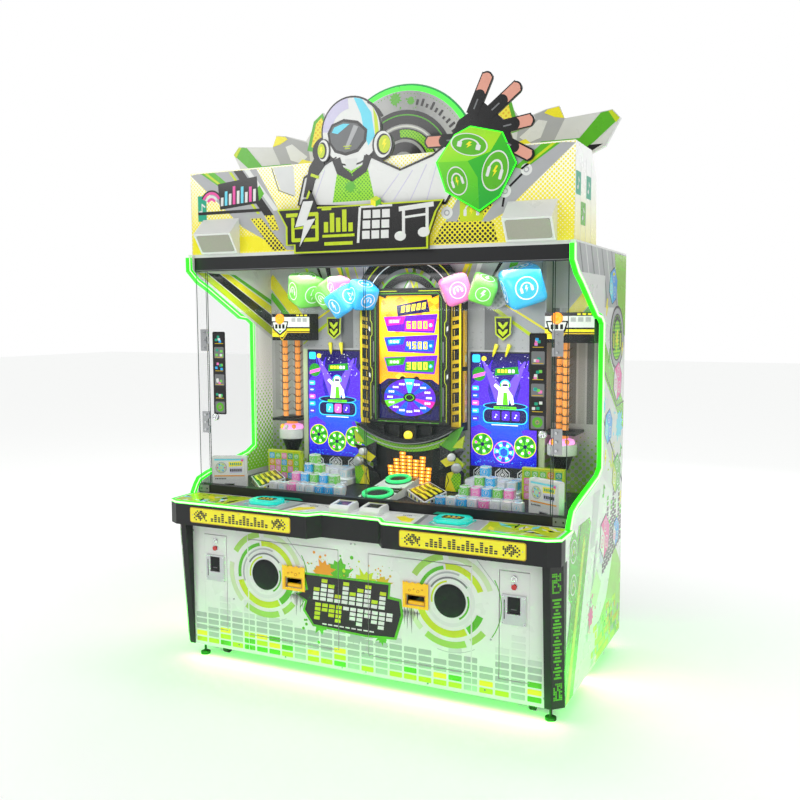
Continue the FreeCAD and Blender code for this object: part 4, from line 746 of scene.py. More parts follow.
def fascia_and_posts():
    """Plaques on the fascia, and the leaning corner posts."""
    for side, s in (LEFT, RIGHT):
        plaque = Art("plaque_" + side, "cabinet", (s * 545, FASCIA_Y, 739), FRONT)
        plaque.rect(-277, 277, -36, 36, "gold", thick=1.0, r=10)
        plaque.rect(-273, 273, -32, 32, "yellow", thick=2.0, r=8)
        plaque.pixels(-216, 0, 8.2, CLUSTER, "black", 6)
        plaque.pixels(216, 0, 8.2, [r[::-1] for r in CLUSTER], "black", 6)
        bars = (2, 4, 3, 5, 1, 4, 5, 2, 3, 5, 4, 2, 5, 3, 4, 2)
        for k, count in enumerate(bars):
            x = -156 + k * 20
            for row in range(count):
                plaque.rect(x, x + 14, -22 + row * 9, -22 + row * 9 + 6.4, "black", 6)
        for x in (-262, 262, 0):
            plaque.disc(x, 28 if x == 0 else 0, 2.4, "steel", thick=3, sides=12)
        plaque.build()
        # corner post: chamfered face, leaning forward
        low, high = Vector((905 * s, -500, 80)), Vector((905 * s, -549, 687))
        across = Vector((s, 1, 0)).normalized()
        plane = (tuple(across), tuple(high - low)) if s > 0 else (tuple(-across), tuple(high - low))
        lean = (high - low).length
        origin = low if s > 0 else low + across * 63.6
        post = Art("post_print_" + side, "cabinet", tuple(origin), plane, step=0.5)
        post.rect(4, 60, 8, lean - 8, "black", 0)
        draw = random.Random(3)
        for zone in ((36, 110), (lean - 118, lean - 40)):
            z = zone[0]
            while z < zone[1]:
                for k in range(5):
                    if draw.random() < 0.72:
                        post.rect(12 + k * 8.2, 18.8 + k * 8.2, z, z + 6.8, "green", 1)
                z += 8.4
        for k in range(24):
            wide = (34, 20, 40, 28, 12, 36, 24, 40)[k % 8]
            z = 128 + k * 14.4
            if z < lean - 132:
                post.rect(32 - wide / 2, 32 + wide / 2, z, z + 8.6, "green", 1)
        post.build()
    shadow = Art("fascia_seams", "cabinet", (0, FASCIA_Y, 0), FRONT)
    for x in (-186, 186):
        shadow.rect(x - 0.8, x + 0.8, 688, 786, "black", 1)
    shadow.build()


def strips():
    """Glow tubes: under the base, along the deck's edge and round both waists."""
    pts = [(-392, 955), (-552.5, 955), (-581.5, 905), (-581.5, 186), (-524.5, 142)]
    right = [(x, y - 0.5, 793.5) for y, x in pts]
    left = [(-x, y, z) for x, y, z in right]
    for name, y in (("front", -478), ("rear", 560)):
        tube("under_tube_" + name, [(-860, y, 76), (860, y, 76)], 3.5, "neon", "cabinet")
    for side, s in (LEFT, RIGHT):
        tube("under_tube_" + side, [(s * 930, -420, 76), (s * 930, 550, 76)], 3.5, "neon", "cabinet")
    tube("deck_tube", left + right[::-1], 4.6, "core", "cabinet")
    line = [(-38, 0), (-38, 5), (-16, 39), (7, 64), (77, 82), (426, 139), (491, 169)]
    upper = [(491, 331), (447, 305), (378, 297), (116, 161), (35, 125), (-29, 76), (-30, 15)]
    path = [(-366 + y, 802 + z) for y, z in line] + [(-366 + y, 1963 - z) for y, z in upper]
    for side, s in (LEFT, RIGHT):
        tube("waist_tube_" + side, [(s * 950, y, z) for y, z in path], 5.2, "core", "cabinet")
        tube("waist_tube_inner_" + side, [(s * 933, y - 4, z) for y, z in path], 3.4, "core", "cabinet")


def deck_buttons():
    """Emblem and frame of each player button, and the pods' windows."""
    for side, s in (LEFT, RIGHT):
        body = "player_button_" + side
        x, y = s * 466, -470.5
        cap = Art("button_emblem_" + side, body, (x, y, 822), UP)
        cap.poly([(-46, -44), (46, -44), (58, -30), (58, 30), (46, 44), (-46, 44), (-58, 30), (-58, -30)], "cyan",
                 thick=1.2)
        cap.poly([(-38, -28), (38, -28), (46, -18), (46, 18), (38, 28), (-38, 28), (-46, 18), (-46, -18)], "black",
                 thick=1.8)
        for k in (-1, 0, 1):
            cap.poly([(k * 22 - 9, -18), (k * 22 + 3, -18), (k * 22 + 11, 0), (k * 22 + 3, 18), (k * 22 - 9, 18),
                      (k * 22 - 1, 0)], "gold", thick=2.2)
        cap.build()
        base = Art("button_frame_" + side, "cabinet", (x, y, 805), UP)
        for a, b, c, d in ((-82, 82, -68, -62.5), (-82, 82, 62.5, 68), (-82, -76.5, -62, 62), (76.5, 82, -62, 62)):
            base.rect(a, b, c, d, "cyan", thick=0.6)
        base.build()
        tilt = (Matrix.Translation((0, -0.436, 0.825)) @ Matrix.Rotation(math.radians(8), 4, "X")
                @ Matrix.Translation((0, 0.436, -0.825)))
        soft_box("pod_window_" + side, (s * 76 - 33, -468, 822), (s * 76 + 33, -404, 828), 2, "black", "cabinet",
                 tilt)
        mark = Art("pod_print_" + side, "cabinet", (s * 76, 0, 836), UP)
        mark.rect(-40, 40, -402, -399, "lime", thick=0.4)
        mark.build()


def deck_print():
    """Bold shards on the control deck, and what the player buttons and pods carry."""
    deck = Art("deck_print", "cabinet", (0, 0, 800), UP, step=0.3)
    draw = random.Random(12)
    for s in (-1, 1):
        deck.poly(mirrored(s, [(930, -560), (900, -568), (620, -568), (600, -384), (930, -384)]), "lime", 0)
        for _ in range(26):
            x, y = draw.uniform(625, 915), draw.uniform(-555, -395)
            a, b = draw.uniform(14, 60), draw.uniform(6, 20)
            t = draw.uniform(0, 3.14)
            c, d = math.cos(t), math.sin(t)
            shard = [(s * x + a * c, y + a * d), (s * x - b * d, y + b * c), (s * x - a * c, y - a * d),
                     (s * x + b * d * 0.6, y - b * c * 0.6)]
            shard = clip(shard, (-926, 926, -562, -384))
            if shard:
                deck.poly(shard, draw.choice(("white", "black", "green", "yellow", "cyan_print", "white", "black")),
                          1)
        deck.poly(mirrored(s, [(600, -384), (612, -566), (330, -566), (300, -384)]), "grey", 0)
        deck.poly(mirrored(s, [(345, -566), (320, -384), (300, -384), (325, -566)]), "steelgrey", 1)
        deck.poly(mirrored(s, [(320, -566), (210, -566), (160, -520), (150, -384), (296, -384)]), "white", 0)
        deck.poly(mirrored(s, [(300, -540), (260, -540), (200, -470), (230, -440), (262, -470), (290, -470)]),
                  "yellow", 1)
        deck.line(mirrored(s, [(290, -420), (190, -404), (160, -430)]), 3, "steelgrey", 1)
        for k in range(5):
            deck.rect(s * 236 - 22 + k * 9, s * 236 - 16 + k * 9, -430, -424, "black", 2)
    deck.poly([(-146, -512), (146, -512), (146, -384), (-146, -384)], "white", 0)
    for s in (-1, 1):
        deck.line(mirrored(s, [(20, -500), (20, -470), (8, -450), (8, -390)]), 3, "grey", 1)
        deck.rect(s * 75 - 34, s * 75 + 34, -508, -498, "lime", 1)
    deck.build()
    deck_buttons()


# ---------------------------------------------------------------- sides
def side_art(art):
    """Drawn for the right side: across is depth from -495 (front) to 581 (rear)."""
    art.poly([(-448, 84), (-330, 84), (-60, 760), (-180, 900), (-236, 900), (-448, 300)], "sidegreen", 0)
    art.poly([(-448, 84), (-395, 84), (-160, 690), (-180, 740)], "lime", 1)
    art.line([(-440, 330), (-200, 860), (-60, 905)], 7, "steelgrey", 1)
    art.poly([(60, 84), (578, 84), (578, 420), (420, 560), (260, 330), (120, 260)], "palegreen", 0)
    art.poly([(130, 945), (578, 700), (578, 1100), (130, 1400)], "paper", 0)
    art.poly([(130, 1400), (578, 1100), (578, 1230), (130, 1560)], "sidegreen", 0)
    art.poly([(-360, 1880), (-40, 1700), (578, 1700), (578, 1958), (-378, 1958)], "grey", 0)
    for k in range(9):
        art.poly([(-330 + k * 96, 1955), (-316 + k * 96, 1955), (-190 + k * 96, 1712), (-204 + k * 96, 1712)],
                 "paper" if k % 2 else "steelgrey", 1)
    art.poly([(320, 1950), (578, 1950), (578, 1560), (440, 1640)], "sidegreen", 1)
    draw = random.Random(21)
    for row in range(9):
        for col in range(17):
            if row < 5 - abs(col - 9) * 0.35 + draw.uniform(-1.5, 2.5):
                look = draw.choice(("lime", "gold", "green", "grey", "lime"))
                x = -20 + col * 35
                art.rect(x, x + 29, 92 + row * 36, 120 + row * 36, look, 2, r=3)
    # hexagon badge with rings
    art.poly([(-420, 520), (-365, 470), (-300, 500), (-280, 600), (-290, 740), (-350, 790), (-410, 750)], "green", 1)
    for z, r in ((560, 44), (700, 50)):
        art.ring(-350, z, r - 6, r, "white", 2)
        art.phones(-350, z, r * 0.55, "white", "yellow", 2)
    # tall band of generic music marks
    cubes = ((300, 1800, 84, ("blue", "cyan_print")), (430, 1350, 92, ("pink", "white")),
             (250, 1150, 80, ("blue", "cyan_print")), (440, 900, 96, ("green", "lime")),
             (210, 640, 100, ("pink", "white")), (450, 610, 70, ("blue", "white")))
    for cx, cz, r, (a, b) in cubes:
        pts = [(cx + r * math.cos(math.radians(k * 60 + 18)), cz + r * math.sin(math.radians(k * 60 + 18)))
               for k in range(6)]
        art.poly([(cx + (x - cx) * 1.06, cz + (y - cz) * 1.06) for x, y in pts], "black", 2)
        for k, tone in ((0, a), (2, b), (4, a)):
            art.poly([(cx, cz), pts[k], pts[(k + 1) % 6], pts[(k + 2) % 6]], tone, 3)
            mx = (cx + pts[(k + 1) % 6][0]) / 2
            mz = (cz + pts[(k + 1) % 6][1]) / 2
            art.ring(mx, mz, r * 0.26, r * 0.31, "white" if tone != "white" else "pink", 4)
            art.note(mx, mz, r * 0.18, "white" if tone != "white" else "pink", 4)
    # large headphones over level bars
    for r, look in ((150, "black"), (138, "grey"), (112, "black"), (104, "lime_dots")):
        art.disc(400, 1560, r, look, 2)
    art.arc(400, 1580, 62, 82, 0, 180, "black", 3)
    for x in (328, 472):
        art.rect(x - 24, x + 24, 1500, 1590, "black", 3, r=12)
        art.rect(x - 13, x + 13, 1510, 1580, "lime", 4, r=8)
    art.bolt(400, 1540, 54, "yellow", 4)
    for k, high in enumerate((5, 9, 13, 8, 11, 15, 10, 6, 12, 7)):
        for row in range(high):
            x, z = 170 + k * 40, 470 + k * 9 + row * 26
            art.rect(x, x + 32, z, z + 19, "black" if row < high - 2 else "green", 1, r=2)
    art.poly([(136, 1130), (330, 960), (330, 1010), (136, 1180)], "fade", 1)
    art.poly([(136, 1190), (578, 830), (578, 850), (136, 1210)], "steelgrey", 1)
    art.poly([(-20, 905), (120, 905), (20, 640), (-60, 640)], "fade", 1)
    art.poly([(40, 640), (70, 640), (-90, 240), (-120, 240)], "grey", 1)
    art.poly([(-60, 430), (60, 520), (150, 430), (40, 340)], "mist", 1)
    art.line([(140, 1420), (420, 1230), (578, 1240)], 6, "black", 2)
    art.splat(480, 1130, 60, "cyan_print", 34, 2)
    art.splat(160, 560, 40, "lilac", 35, 1)
    for x, z, s in ((180, 1700, 40), (200, 1010, 36), (520, 1500, 34), (540, 760, 36)):
        art.bolt(x, z, s, "yellow", 4)
    for x, z, s in ((250, 1480, 40), (180, 860, 36), (530, 1000, 36)):
        art.note(x, z, s, "green", 4)
    art.splat(-40, 330, 42, "pink", 31, 2)
    art.splat(330, 980, 40, "lime", 32, 1)
    art.splat(140, 1250, 34, "cyan_print", 33, 1)


def sides():
    """The same drawing on both side panels, clipped to the panel's rectangles round the waist."""
    boxes = ((-449, 580, 82, 790), (136, 580, 790, 1955), (-60, 136, 790, 880), (-372, 136, 1840, 1955))
    for side, s in (LEFT, RIGHT):
        sheet = Art("side_print_low_" + side, "cabinet", (s * SIDE_X, 0, 0), EAST if s > 0 else WEST, step=0.3)
        side_art(Spread([Through(sheet, lambda points, box=box: mirrored(s, clip(points, box))) for box in boxes]))
        sheet.build()


# ---------------------------------------------------------------- top
def marquee_ends():
    """Both ends of the box, and the faces of the horns."""
    for side, s in (LEFT, RIGHT):
        plane = EAST if s > 0 else WEST
        end = Art("marquee_end_" + side, "cabinet", (s * 940, 0, 0), plane, step=0.4)
        pts = [(-366, 1964), (-8, 1966), (-22, 2256), (-110, 2350), (-366, 2350)]
        end.poly([(s * y, z) for y, z in pts], "marquee_side", 0)
        for y, z, look in ((-318, 2190, "teal"), (-150, 2190, "teal"), (-236, 2076, "green")):
            end.rect(s * y - 38, s * y + 38, z - 46, z + 46, look, 1, r=3)
            end.note(s * y, z, 30, "white", 2)
        for y in (-366, -280, -195, -108):
            end.rect(s * y - 1, s * y + 1, 1966, 2300, "paper", 1)
        end.build()
        slope = math.atan2(60, 89)
        up = (0, -math.sin(slope), math.cos(slope))
        face = Art("horn_face_" + side, "cabinet", (s * 766, -386 + 4 * math.cos(slope), 1963 + 4 * math.sin(slope)),
                   ((1, 0, 0), up))
        face.rect(-93, 93, 11, 97, "horn", thick=4.5, r=12)
        face.build()


def marquee():
    """Box behind the signs: its front, its ends and the two horns."""
    art = Art("marquee_print", "cabinet", (0, GLASS_Y, 0), FRONT, step=0.3)
    art.poly([(-930, 1970), (-930, 2040), (-560, 2040), (-430, 1970)], "yellow", 0)
    # black and grey band that runs down to the title from both sides
    for s in (-1, 1):
        art.poly(mirrored(s, [(560, 2345), (700, 2345), (900, 2345), (940, 2340), (640, 2080), (420, 1968),
                              (330, 1968)]), "grey", 0)
        art.poly(mirrored(s, [(640, 2345), (690, 2345), (520, 2130), (470, 2130)]), "black", 1)
        art.poly(mirrored(s, [(700, 2340), (716, 2340), (560, 2140), (544, 2140)]), "lime", 1)
        art.poly(mirrored(s, [(470, 2130), (520, 2130), (480, 2060), (440, 2060)]), "black_dots", 1)
        art.poly(mirrored(s, [(540, 2120), (600, 2120), (480, 1968), (400, 1968)]), "black_dots", 1)
        art.poly(mirrored(s, [(600, 2345), (630, 2345), (470, 2150), (440, 2150)]), "white", 1)
    art.poly([(330, 1968), (620, 1968), (600, 2050), (380, 2060)], "black_dots", 1)
    for s in (-1, 1):
        art.poly(mirrored(s, [(880, 2345), (800, 2345), (690, 2262), (730, 2250)]), "green", 1)
        art.poly(mirrored(s, [(862, 2345), (842, 2345), (712, 2254), (724, 2251)]), "lime", 2)
        art.poly(mirrored(s, [(545, 2270), (580, 2236), (552, 2196), (520, 2230)]), "green", 2)
        art.poly(mirrored(s, [(360, 2345), (470, 2345), (430, 2240), (350, 2210)]), "paper", 1)
        art.line(mirrored(s, [(360, 2210), (440, 2240), (476, 2342)]), 4, "steelgrey", 2)
    art.rect(452, 556, 2056, 2150, "lime", 2, r=6)
    art.phones(504, 2098, 40, "white", "yellow", 3)
    for x, z, r in ((394, 2096, 26), (740, 2250, 24), (650, 2170, 26)):
        art.disc(x, z, r, "white", 2)
        art.ring(x, z, r * 0.3, r * 0.5, "grey", 3)
    art.line([(740, 2250), (650, 2170), (640, 2110)], 9, "black", 1)
    art.rect(-900, -850, 2120, 2240, "teal", 1)
    art.note(-875, 2180, 30, "white", 2)
    # round wave sign at the left, in place of words
    for k, (r, look) in enumerate(((64, "black"), (56, "pink"), (40, "white"), (28, "pink"))):
        art.arc(-820, 2200, r - 12, r, 25, 155, look, 2 + k)
    art.poly([(-780, 2290), (-560, 2312), (-548, 2190), (-770, 2170)], "black", 2)
    for k in range(9):
        high = (40, 66, 52, 84, 60, 76, 48, 70, 56)[k]
        look = ("white", "cyan_print", "white", "pink")[k % 4]
        x = -766 + k * 23
        art.poly([(x, 2186 + k * 1.6), (x + 15, 2187 + k * 1.6), (x + 17, 2187 + k * 1.6 + high),
                  (x + 2, 2186 + k * 1.6 + high)],
                 look, 3)
    art.rect(-900, -540, 2150, 2164, "black", 2)
    art.build()
    marquee_ends()


def icon_strip():
    """Blocks that sit where the title's four signs are."""
    art = Art("title_print", "cabinet", (0, -394, 0), FRONT, step=0.8)
    outline = [(-434, 2150), (-388, 2070), (-388, 1985), (-345, 1985), (-345, 1948), (320, 1948), (320, 2000),
               (359, 2104), (390, 2150), (110, 2150), (75, 2172), (60, 2150), (-225, 2150), (-262, 2228),
               (-296, 2150)]
    cx, cz = -15, 2050
    art.poly(outline, "lime", 0)
    art.poly([(cx + (x - cx) * 0.972, cz + (z - cz) * 0.93) for x, z in outline], "black", 1)
    lime, white = "lime", "white"
    # sign 1: a bolt in a split frame
    art.line([(-378, 2120), (-222, 2120), (-222, 2008), (-348, 2008), (-348, 2104)], 17, lime, 2)
    art.line([(-345, 2064), (-225, 2064)], 14, lime, 2)
    art.bolt(-283, 2076, 112, "black", 3)
    art.bolt(-281, 2078, 100, white, 4)
    # sign 2: level bars on a stand
    for k, high in enumerate((46, 84, 62, 96, 38)):
        art.rect(-186 + k * 31, -164 + k * 31, 2036, 2036 + high, lime, 2)
    art.rect(-194, -32, 2014, 2026, lime, 2)
    art.line([(-180, 1986), (-46, 1986)], 15, lime, 2)
    art.line([(-194, 2138), (-150, 2138)], 9, lime, 2)
    # sign 3: a cube made of nine tiles
    for row in range(3):
        for col in range(3):
            x = 6 + col * 46 + row * 3
            art.rect(x, x + 37, 2000 + row * 44, 2035 + row * 44, white, 2)
    art.line([(-4, 2134), (-14, 1988)], 12, white, 2)
    art.line([(0, 2138), (150, 2138)], 9, white, 2)
    # sign 4: a beamed pair of notes
    art.line([(190, 2120), (340, 2132)], 20, white, 2)
    art.line([(206, 2118), (206, 2012)], 14, white, 2)
    art.line([(316, 2130), (316, 2024)], 14, white, 2)
    art.disc(190, 2006, 27, white, 2, squash=0.75)
    art.disc(300, 2018, 27, white, 2, squash=0.75)
    art.line([(212, 2084), (312, 2092)], 10, white, 2)
    # small cube on the edge
    for pts, look in (([(50, 2170), (74, 2182), (98, 2170), (74, 2158)], "lime"),
                      ([(50, 2170), (74, 2158), (74, 2136), (50, 2146)], "yellow"),
                      ([(98, 2170), (74, 2158), (74, 2136), (98, 2146)], "green")):
        art.poly(pts, look, 4)
    art.build()


def figure_body(art):
    """Jacket, with the arm's folds."""
    art.poly([(-328, 2168), (-296, 2284), (-130, 2362), (20, 2362), (182, 2286), (332, 2334), (396, 2376),
              (452, 2240),
              (388, 2138), (19, 2148)], "white", 1)
    art.poly([(-150, 2168), (-120, 2330), (-54, 2300), (20, 2330), (60, 2168)], "lime_dots", 2)
    art.poly([(-150, 2350), (-110, 2362), (-96, 2320), (-54, 2286), (0, 2320), (10, 2362), (46, 2352), (20, 2290),
              (-50, 2252), (-126, 2290)], "black", 3)
    art.poly([(-86, 2352), (-24, 2352), (-30, 2318), (-54, 2298), (-80, 2318)], "paper", 4)
    for a, b in (((80, 2160), (176, 2270)), ((150, 2160), (240, 2280)), ((230, 2158), (306, 2300)),
                 ((306, 2150), (362, 2330)), ((-300, 2190), (-236, 2290)), ((-246, 2180), (-190, 2310))):
        art.line([a, b], 3, "lilac", 2)
    art.line([(-328, 2168), (-296, 2284), (-130, 2362)], 6, "black", 5)
    art.line([(20, 2362), (182, 2286), (332, 2334), (396, 2376)], 6, "black", 5)
    art.line([(388, 2138), (19, 2148)], 6, "black", 5)
    art.splat(-60, 2230, 24, "green", 41, 3)


def helmet(art):
    """Smooth helmet with a wide dark visor."""
    art.disc(-55, 2470, 150, "black", 1)
    art.disc(-55, 2470, 142, "white", 2)
    art.arc(-55, 2470, 96, 142, 96, 178, "lilac", 3)
    art.poly([(-40, 2611), (0, 2601), (46, 2540), (62, 2440), (30, 2400), (14, 2450), (-6, 2540)], "cyan_print", 3)
    art.poly([(54, 2560), (74, 2520), (84, 2440), (66, 2420), (60, 2500)], "lime", 3)
    art.poly([(-172, 2470), (-150, 2506), (-90, 2524), (-20, 2510), (26, 2470), (20, 2420), (-20, 2378), (-80, 2366),
              (-136, 2384), (-164, 2424)], "black", 4)
    art.poly([(-160, 2466), (-144, 2496), (-90, 2512), (-24, 2498), (14, 2464), (8, 2426), (-26, 2390), (-80, 2379),
              (-130, 2395), (-154, 2428)], "steelgrey", 5)
    art.poly([(-150, 2470), (-136, 2492), (-92, 2504), (-60, 2500), (-120, 2462)], "cyan_print", 6)
    art.poly([(-40, 2494), (-16, 2486), (-66, 2400), (-84, 2400)], "grey", 6)
    for w, z in ((40, 2404), (26, 2394)):
        art.rect(-72 - w / 2, -72 + w / 2, z, z + 4, "lime", 6)


def headphone_cups(art):
    """Cups over both ears, and the band."""
    for x, z, r, lean in ((96, 2400, 60, 0.75), (-188, 2396, 50, 0.6)):
        for k, (q, look) in enumerate(((1.0, "black"), (0.93, "white"), (0.74, "black"), (0.62, "lime"))):
            pts = [(x + lean * q * r * math.cos(t * math.pi / 16) + k * 5 * (1 if x > 0 else -1),
                    z + q * r * math.sin(t * math.pi / 16)) for t in range(32)]
            art.poly(pts, look, 6 + k)
        art.bolt(x + (15 if x > 0 else -15), z, r * 0.36, "yellow", 10)
    art.arc(-48, 2440, 160, 172, 28, 62, "black", 6)


def hands(art):
    """Raised hand by the helmet, and an open glove."""
    art.poly([(-300, 2200), (-268, 2330), (-230, 2380), (-196, 2372), (-190, 2330), (-240, 2270), (-262, 2196)],
             "black", 6)
    art.poly([(-262, 2290), (-222, 2276), (-218, 2288), (-256, 2302)], "lime", 7)
    # open glove
    palm = [(400, 2372), (446, 2464), (560, 2524), (654, 2438), (694, 2330), (520, 2282)]
    art.poly(palm, "black", 1)
    fingers = (((515, 2500), (572, 2625), 27), ((590, 2490), (695, 2572), 27), ((640, 2425), (748, 2440), 27),
               ((640, 2370), (748, 2308), 25), ((440, 2390), (322, 2392), 26))
    for (ax, az), (bx, bz), half in fingers:
        d = math.hypot(bx - ax, bz - az)
        ux, uz = (bx - ax) / d, (bz - az) / d

        def finger(start, stop, wide, look, layer):
            p, q = (ax + ux * start, az + uz * start), (ax + ux * stop, az + uz * stop)
            art.line([p, q], wide * 2, look, layer)
            art.disc(q[0], q[1], wide, look, layer, sides=20)
        finger(0, d, half, "black", 1)
        finger(d * 0.42, d - 2, half - 5, "skin", 2)
        finger(0, d * 0.46, half - 2, "black", 3)
        finger(d * 0.06, d * 0.34, 3, "steelgrey", 4)


def figure_cube(art):
    """Large cube in the glove, with a badge on each face."""
    hexa = [(503, 2441), (643, 2405), (703, 2278), (632, 2148), (543, 2092), (393, 2181), (349, 2304), (432, 2412)]
    art.poly([(float(x), float(z)) for x, z in hexa], "neon", 4)
    art.poly([(432, 2408), (503, 2437), (639, 2402), (590, 2330), (492, 2300), (356, 2304)], "cubetop", 5)
    art.poly([(356, 2304), (492, 2300), (536, 2230), (543, 2098), (397, 2184)], "cubeleft", 5)
    art.poly([(492, 2300), (590, 2330), (639, 2402), (699, 2278), (630, 2151), (543, 2098), (536, 2230)],
             "cuberight", 5)
    faces = ((498, 2366, 62, 1.35, 0.72, -14), (446, 2222, 56, 0.78, 1.1, 20), (612, 2252, 66, 0.85, 1.25, -16))
    for cx, cz, r, sx, sz, turn in faces:
        c, s = math.cos(math.radians(turn)), math.sin(math.radians(turn))

        def warp(points):
            out = []
            for px, pz in points:
                qx, qz = (px - cx) * sx, (pz - cz) * sz
                out.append((cx + qx * c - qz * s, cz + qx * s + qz * c))
            return out
        badge = Through(art, warp)
        badge.disc(cx, cz, r, "green", 6)
        badge.ring(cx, cz, r - 5, r, "white", 7)
        badge.phones(cx, cz, r * 0.72, "white", "yellow", 7)


def figure():
    """Helmeted mannequin with headphones, raised arm, open glove and a large music cube."""
    art = Art("figure_print", "cabinet", (0, -376, 0), FRONT, step=0.7)
    figure_body(art)
    helmet(art)
    headphone_cups(art)
    hands(art)
    figure_cube(art)
    art.build()


def record():
    """Big disc with rings and level bars."""
    disc = Art("record_print", "cabinet", (-20, TOPPER_Y, 2385), FRONT, step=0.8)
    disc.disc(0, 0, 383, "ring_dark", 6, sides=96)
    disc.disc(0, 0, 374, "rim", 7, sides=96)
    disc.disc(0, 0, 352, "metalgrey", 8, sides=96)
    for k in range(60):
        t = math.radians(k * 3 + 20)
        disc.rect(338 * math.cos(t) - 2, 338 * math.cos(t) + 2, 338 * math.sin(t) - 2, 338 * math.sin(t) + 2,
                  "green", 9)
    for k in range(14):
        t = math.radians(8 + k * 5.2)
        c, s = math.cos(t), math.sin(t)
        high = (14, 30, 22, 38, 18, 34, 26)[k % 7]
        r0, r1 = 288, 288 + high
        w = 6
        disc.poly([(r0 * c - w * s, r0 * s + w * c), (r0 * c + w * s, r0 * s - w * c),
                   (r1 * c + w * s, r1 * s - w * c),
                   (r1 * c - w * s, r1 * s + w * c)], "black", 9)
    disc.splat(-40, 316, 26, "green", 51, 9)
    disc.splat(40, 300, 18, "green", 52, 9)
    disc.ring(0, 0, 196, 262, "black", 9)
    disc.ring(0, 0, 236, 242, "green", 10)
    disc.disc(0, 0, 200, "grey", 9, sides=64)
    disc.ring(0, 0, 182, 190, "white", 10)
    disc.ring(0, 0, 126, 176, "black", 10)
    disc.arc(0, 0, 134, 170, -64, 96, "lime_dots", 11)
    disc.arc(0, 0, 134, 170, 130, 236, "lime_dots", 11)
    disc.disc(0, 0, 112, "black", 10, sides=48)
    disc.disc(0, 0, 66, "grey", 11, sides=40)
    disc.ring(0, 0, 22, 30, "black", 12)
    disc.build()


def topper_ribs():
    """Ribs and nuts behind the boards."""
    back = Art("topper_ribs", "cabinet", (0, TOPPER_Y + 24, 0), BACK, step=2.0)
    for z in (2290, 2500):
        back.rect(-620, 620, z - 17, z + 17, "zinc", thick=3)
    for x in (-340, 340, 0):
        back.rect(x - 17, x + 17, 2180, 2530, "zinc", thick=5)
    for x in (-600, -340, 0, 340, 600):
        for z in (2290, 2500):
            back.disc(x, z, 7, "steel", thick=8, sides=6)
    back.build()


def topper():
    """Winged board with the big disc, and the ribs that hold it from behind."""
    art = Art("topper_print", "cabinet", (0, TOPPER_Y, 0), FRONT, step=0.8)
    for s in (-1, 1):
        def p(points, look, layer):
            art.poly([(s * x, z) for x, z in points], look, layer)
        p([(300, 2165), (618, 2183), (738, 2232), (890, 2378), (948, 2402), (1011, 2514), (978, 2550), (930, 2544),
           (772, 2531), (560, 2540), (300, 2540)], "paper", 0)
        p([(560, 2540), (686, 2580), (742, 2588), (768, 2531), (700, 2400), (520, 2300)], "grey", 1)
        p([(1011, 2514), (978, 2550), (930, 2544), (836, 2443), (660, 2443), (610, 2389), (853, 2389), (900, 2420)],
          "green", 2)
        p([(1011, 2514), (978, 2550), (962, 2548), (996, 2496)], "lime", 3)
        p([(676, 2566), (690, 2580), (742, 2588), (766, 2536), (724, 2544)], "yellow", 3)
        p([(600, 2500), (650, 2540), (690, 2530), (660, 2460), (600, 2440), (560, 2470)], "white", 2)
        p([(520, 2440), (590, 2460), (650, 2410), (620, 2392), (590, 2420), (530, 2400)], "yellow", 3)
        p([(560, 2350), (600, 2380), (640, 2300), (600, 2270)], "green", 2)
        p([(420, 2560), (470, 2676), (520, 2640), (560, 2500), (470, 2480)], "green", 2)
        p([(436, 2562), (474, 2656), (506, 2628), (536, 2516), (474, 2500)], "gold_dots", 3)
        p([(940, 2410), (880, 2378), (740, 2236), (720, 2250), (880, 2410)], "black", 2)
    art.build()
    record()
    topper_ribs()
    for s in (-1, 1):
        for z in (2010, 2120):
            lathe("topper_bolt_%d_%d" % (s + 1, z), [(9, 0), (9, 4), (7, 6), (0.5, 6)], (s * 340, 60, z), (0, -1, 0),
                  "steel", "cabinet", 6)


# ---------------------------------------------------------------- inside
def beams_and_desk(art, s, draw):
    """Light beams, stage and desk."""
    for a, b, c in ((-120, -60, -8), (120, 60, 8), (-60, -90, -40), (70, 96, 44)):
        art.poly([(a, 520), (b, 300), (b + c * 4, 300), (a + 6, 520)], "sc_violet", 1)
    art.poly([(-110, 515), (-100, 515), (40, 320), (-40, 320)], "sc_beam", 1)
    art.poly([(112, 515), (102, 515), (-36, 320), (44, 320)], "sc_beam", 1)
    for _ in range(34):
        art.disc(draw.uniform(-150, 150), draw.uniform(420, 540), draw.uniform(1, 2.6), "sc_white", 2, sides=8)
    art.poly([(-166, 340), (-60, 318), (60, 318), (166, 340), (166, 190), (-166, 190)], "sc_blue", 1)
    art.disc(8, 300, 112, "sc_cyan", 2, squash=0.16)
    art.disc(8, 300, 106, "sc_dark", 3, squash=0.15)
    art.rect(-104, 120, 214, 288, "sc_cyan", 2, r=26)
    art.rect(-99, 115, 219, 283, "sc_dark", 3, r=23)
    art.rect(-50, 66, 284, 298, "sc_green", 4, r=5)
    art.pixels(8, 291, 3.4, ["###.##.#.####.##", "#.#.#..##.#.##.#"], "sc_dark", 5)
    tiles = ("sc_cyan", "sc_pink", "sc_violet") if s < 0 else ("sc_violet",) * 3
    for k, look in enumerate(tiles):
        x = -58 + k * 50
        art.rect(x, x + 40, 230, 276, look, 4, r=7)
        art.note(x + 21, 252, 12, "sc_white", 5)
    art.rect(-60, 74, 206, 210, "sc_white", 4)


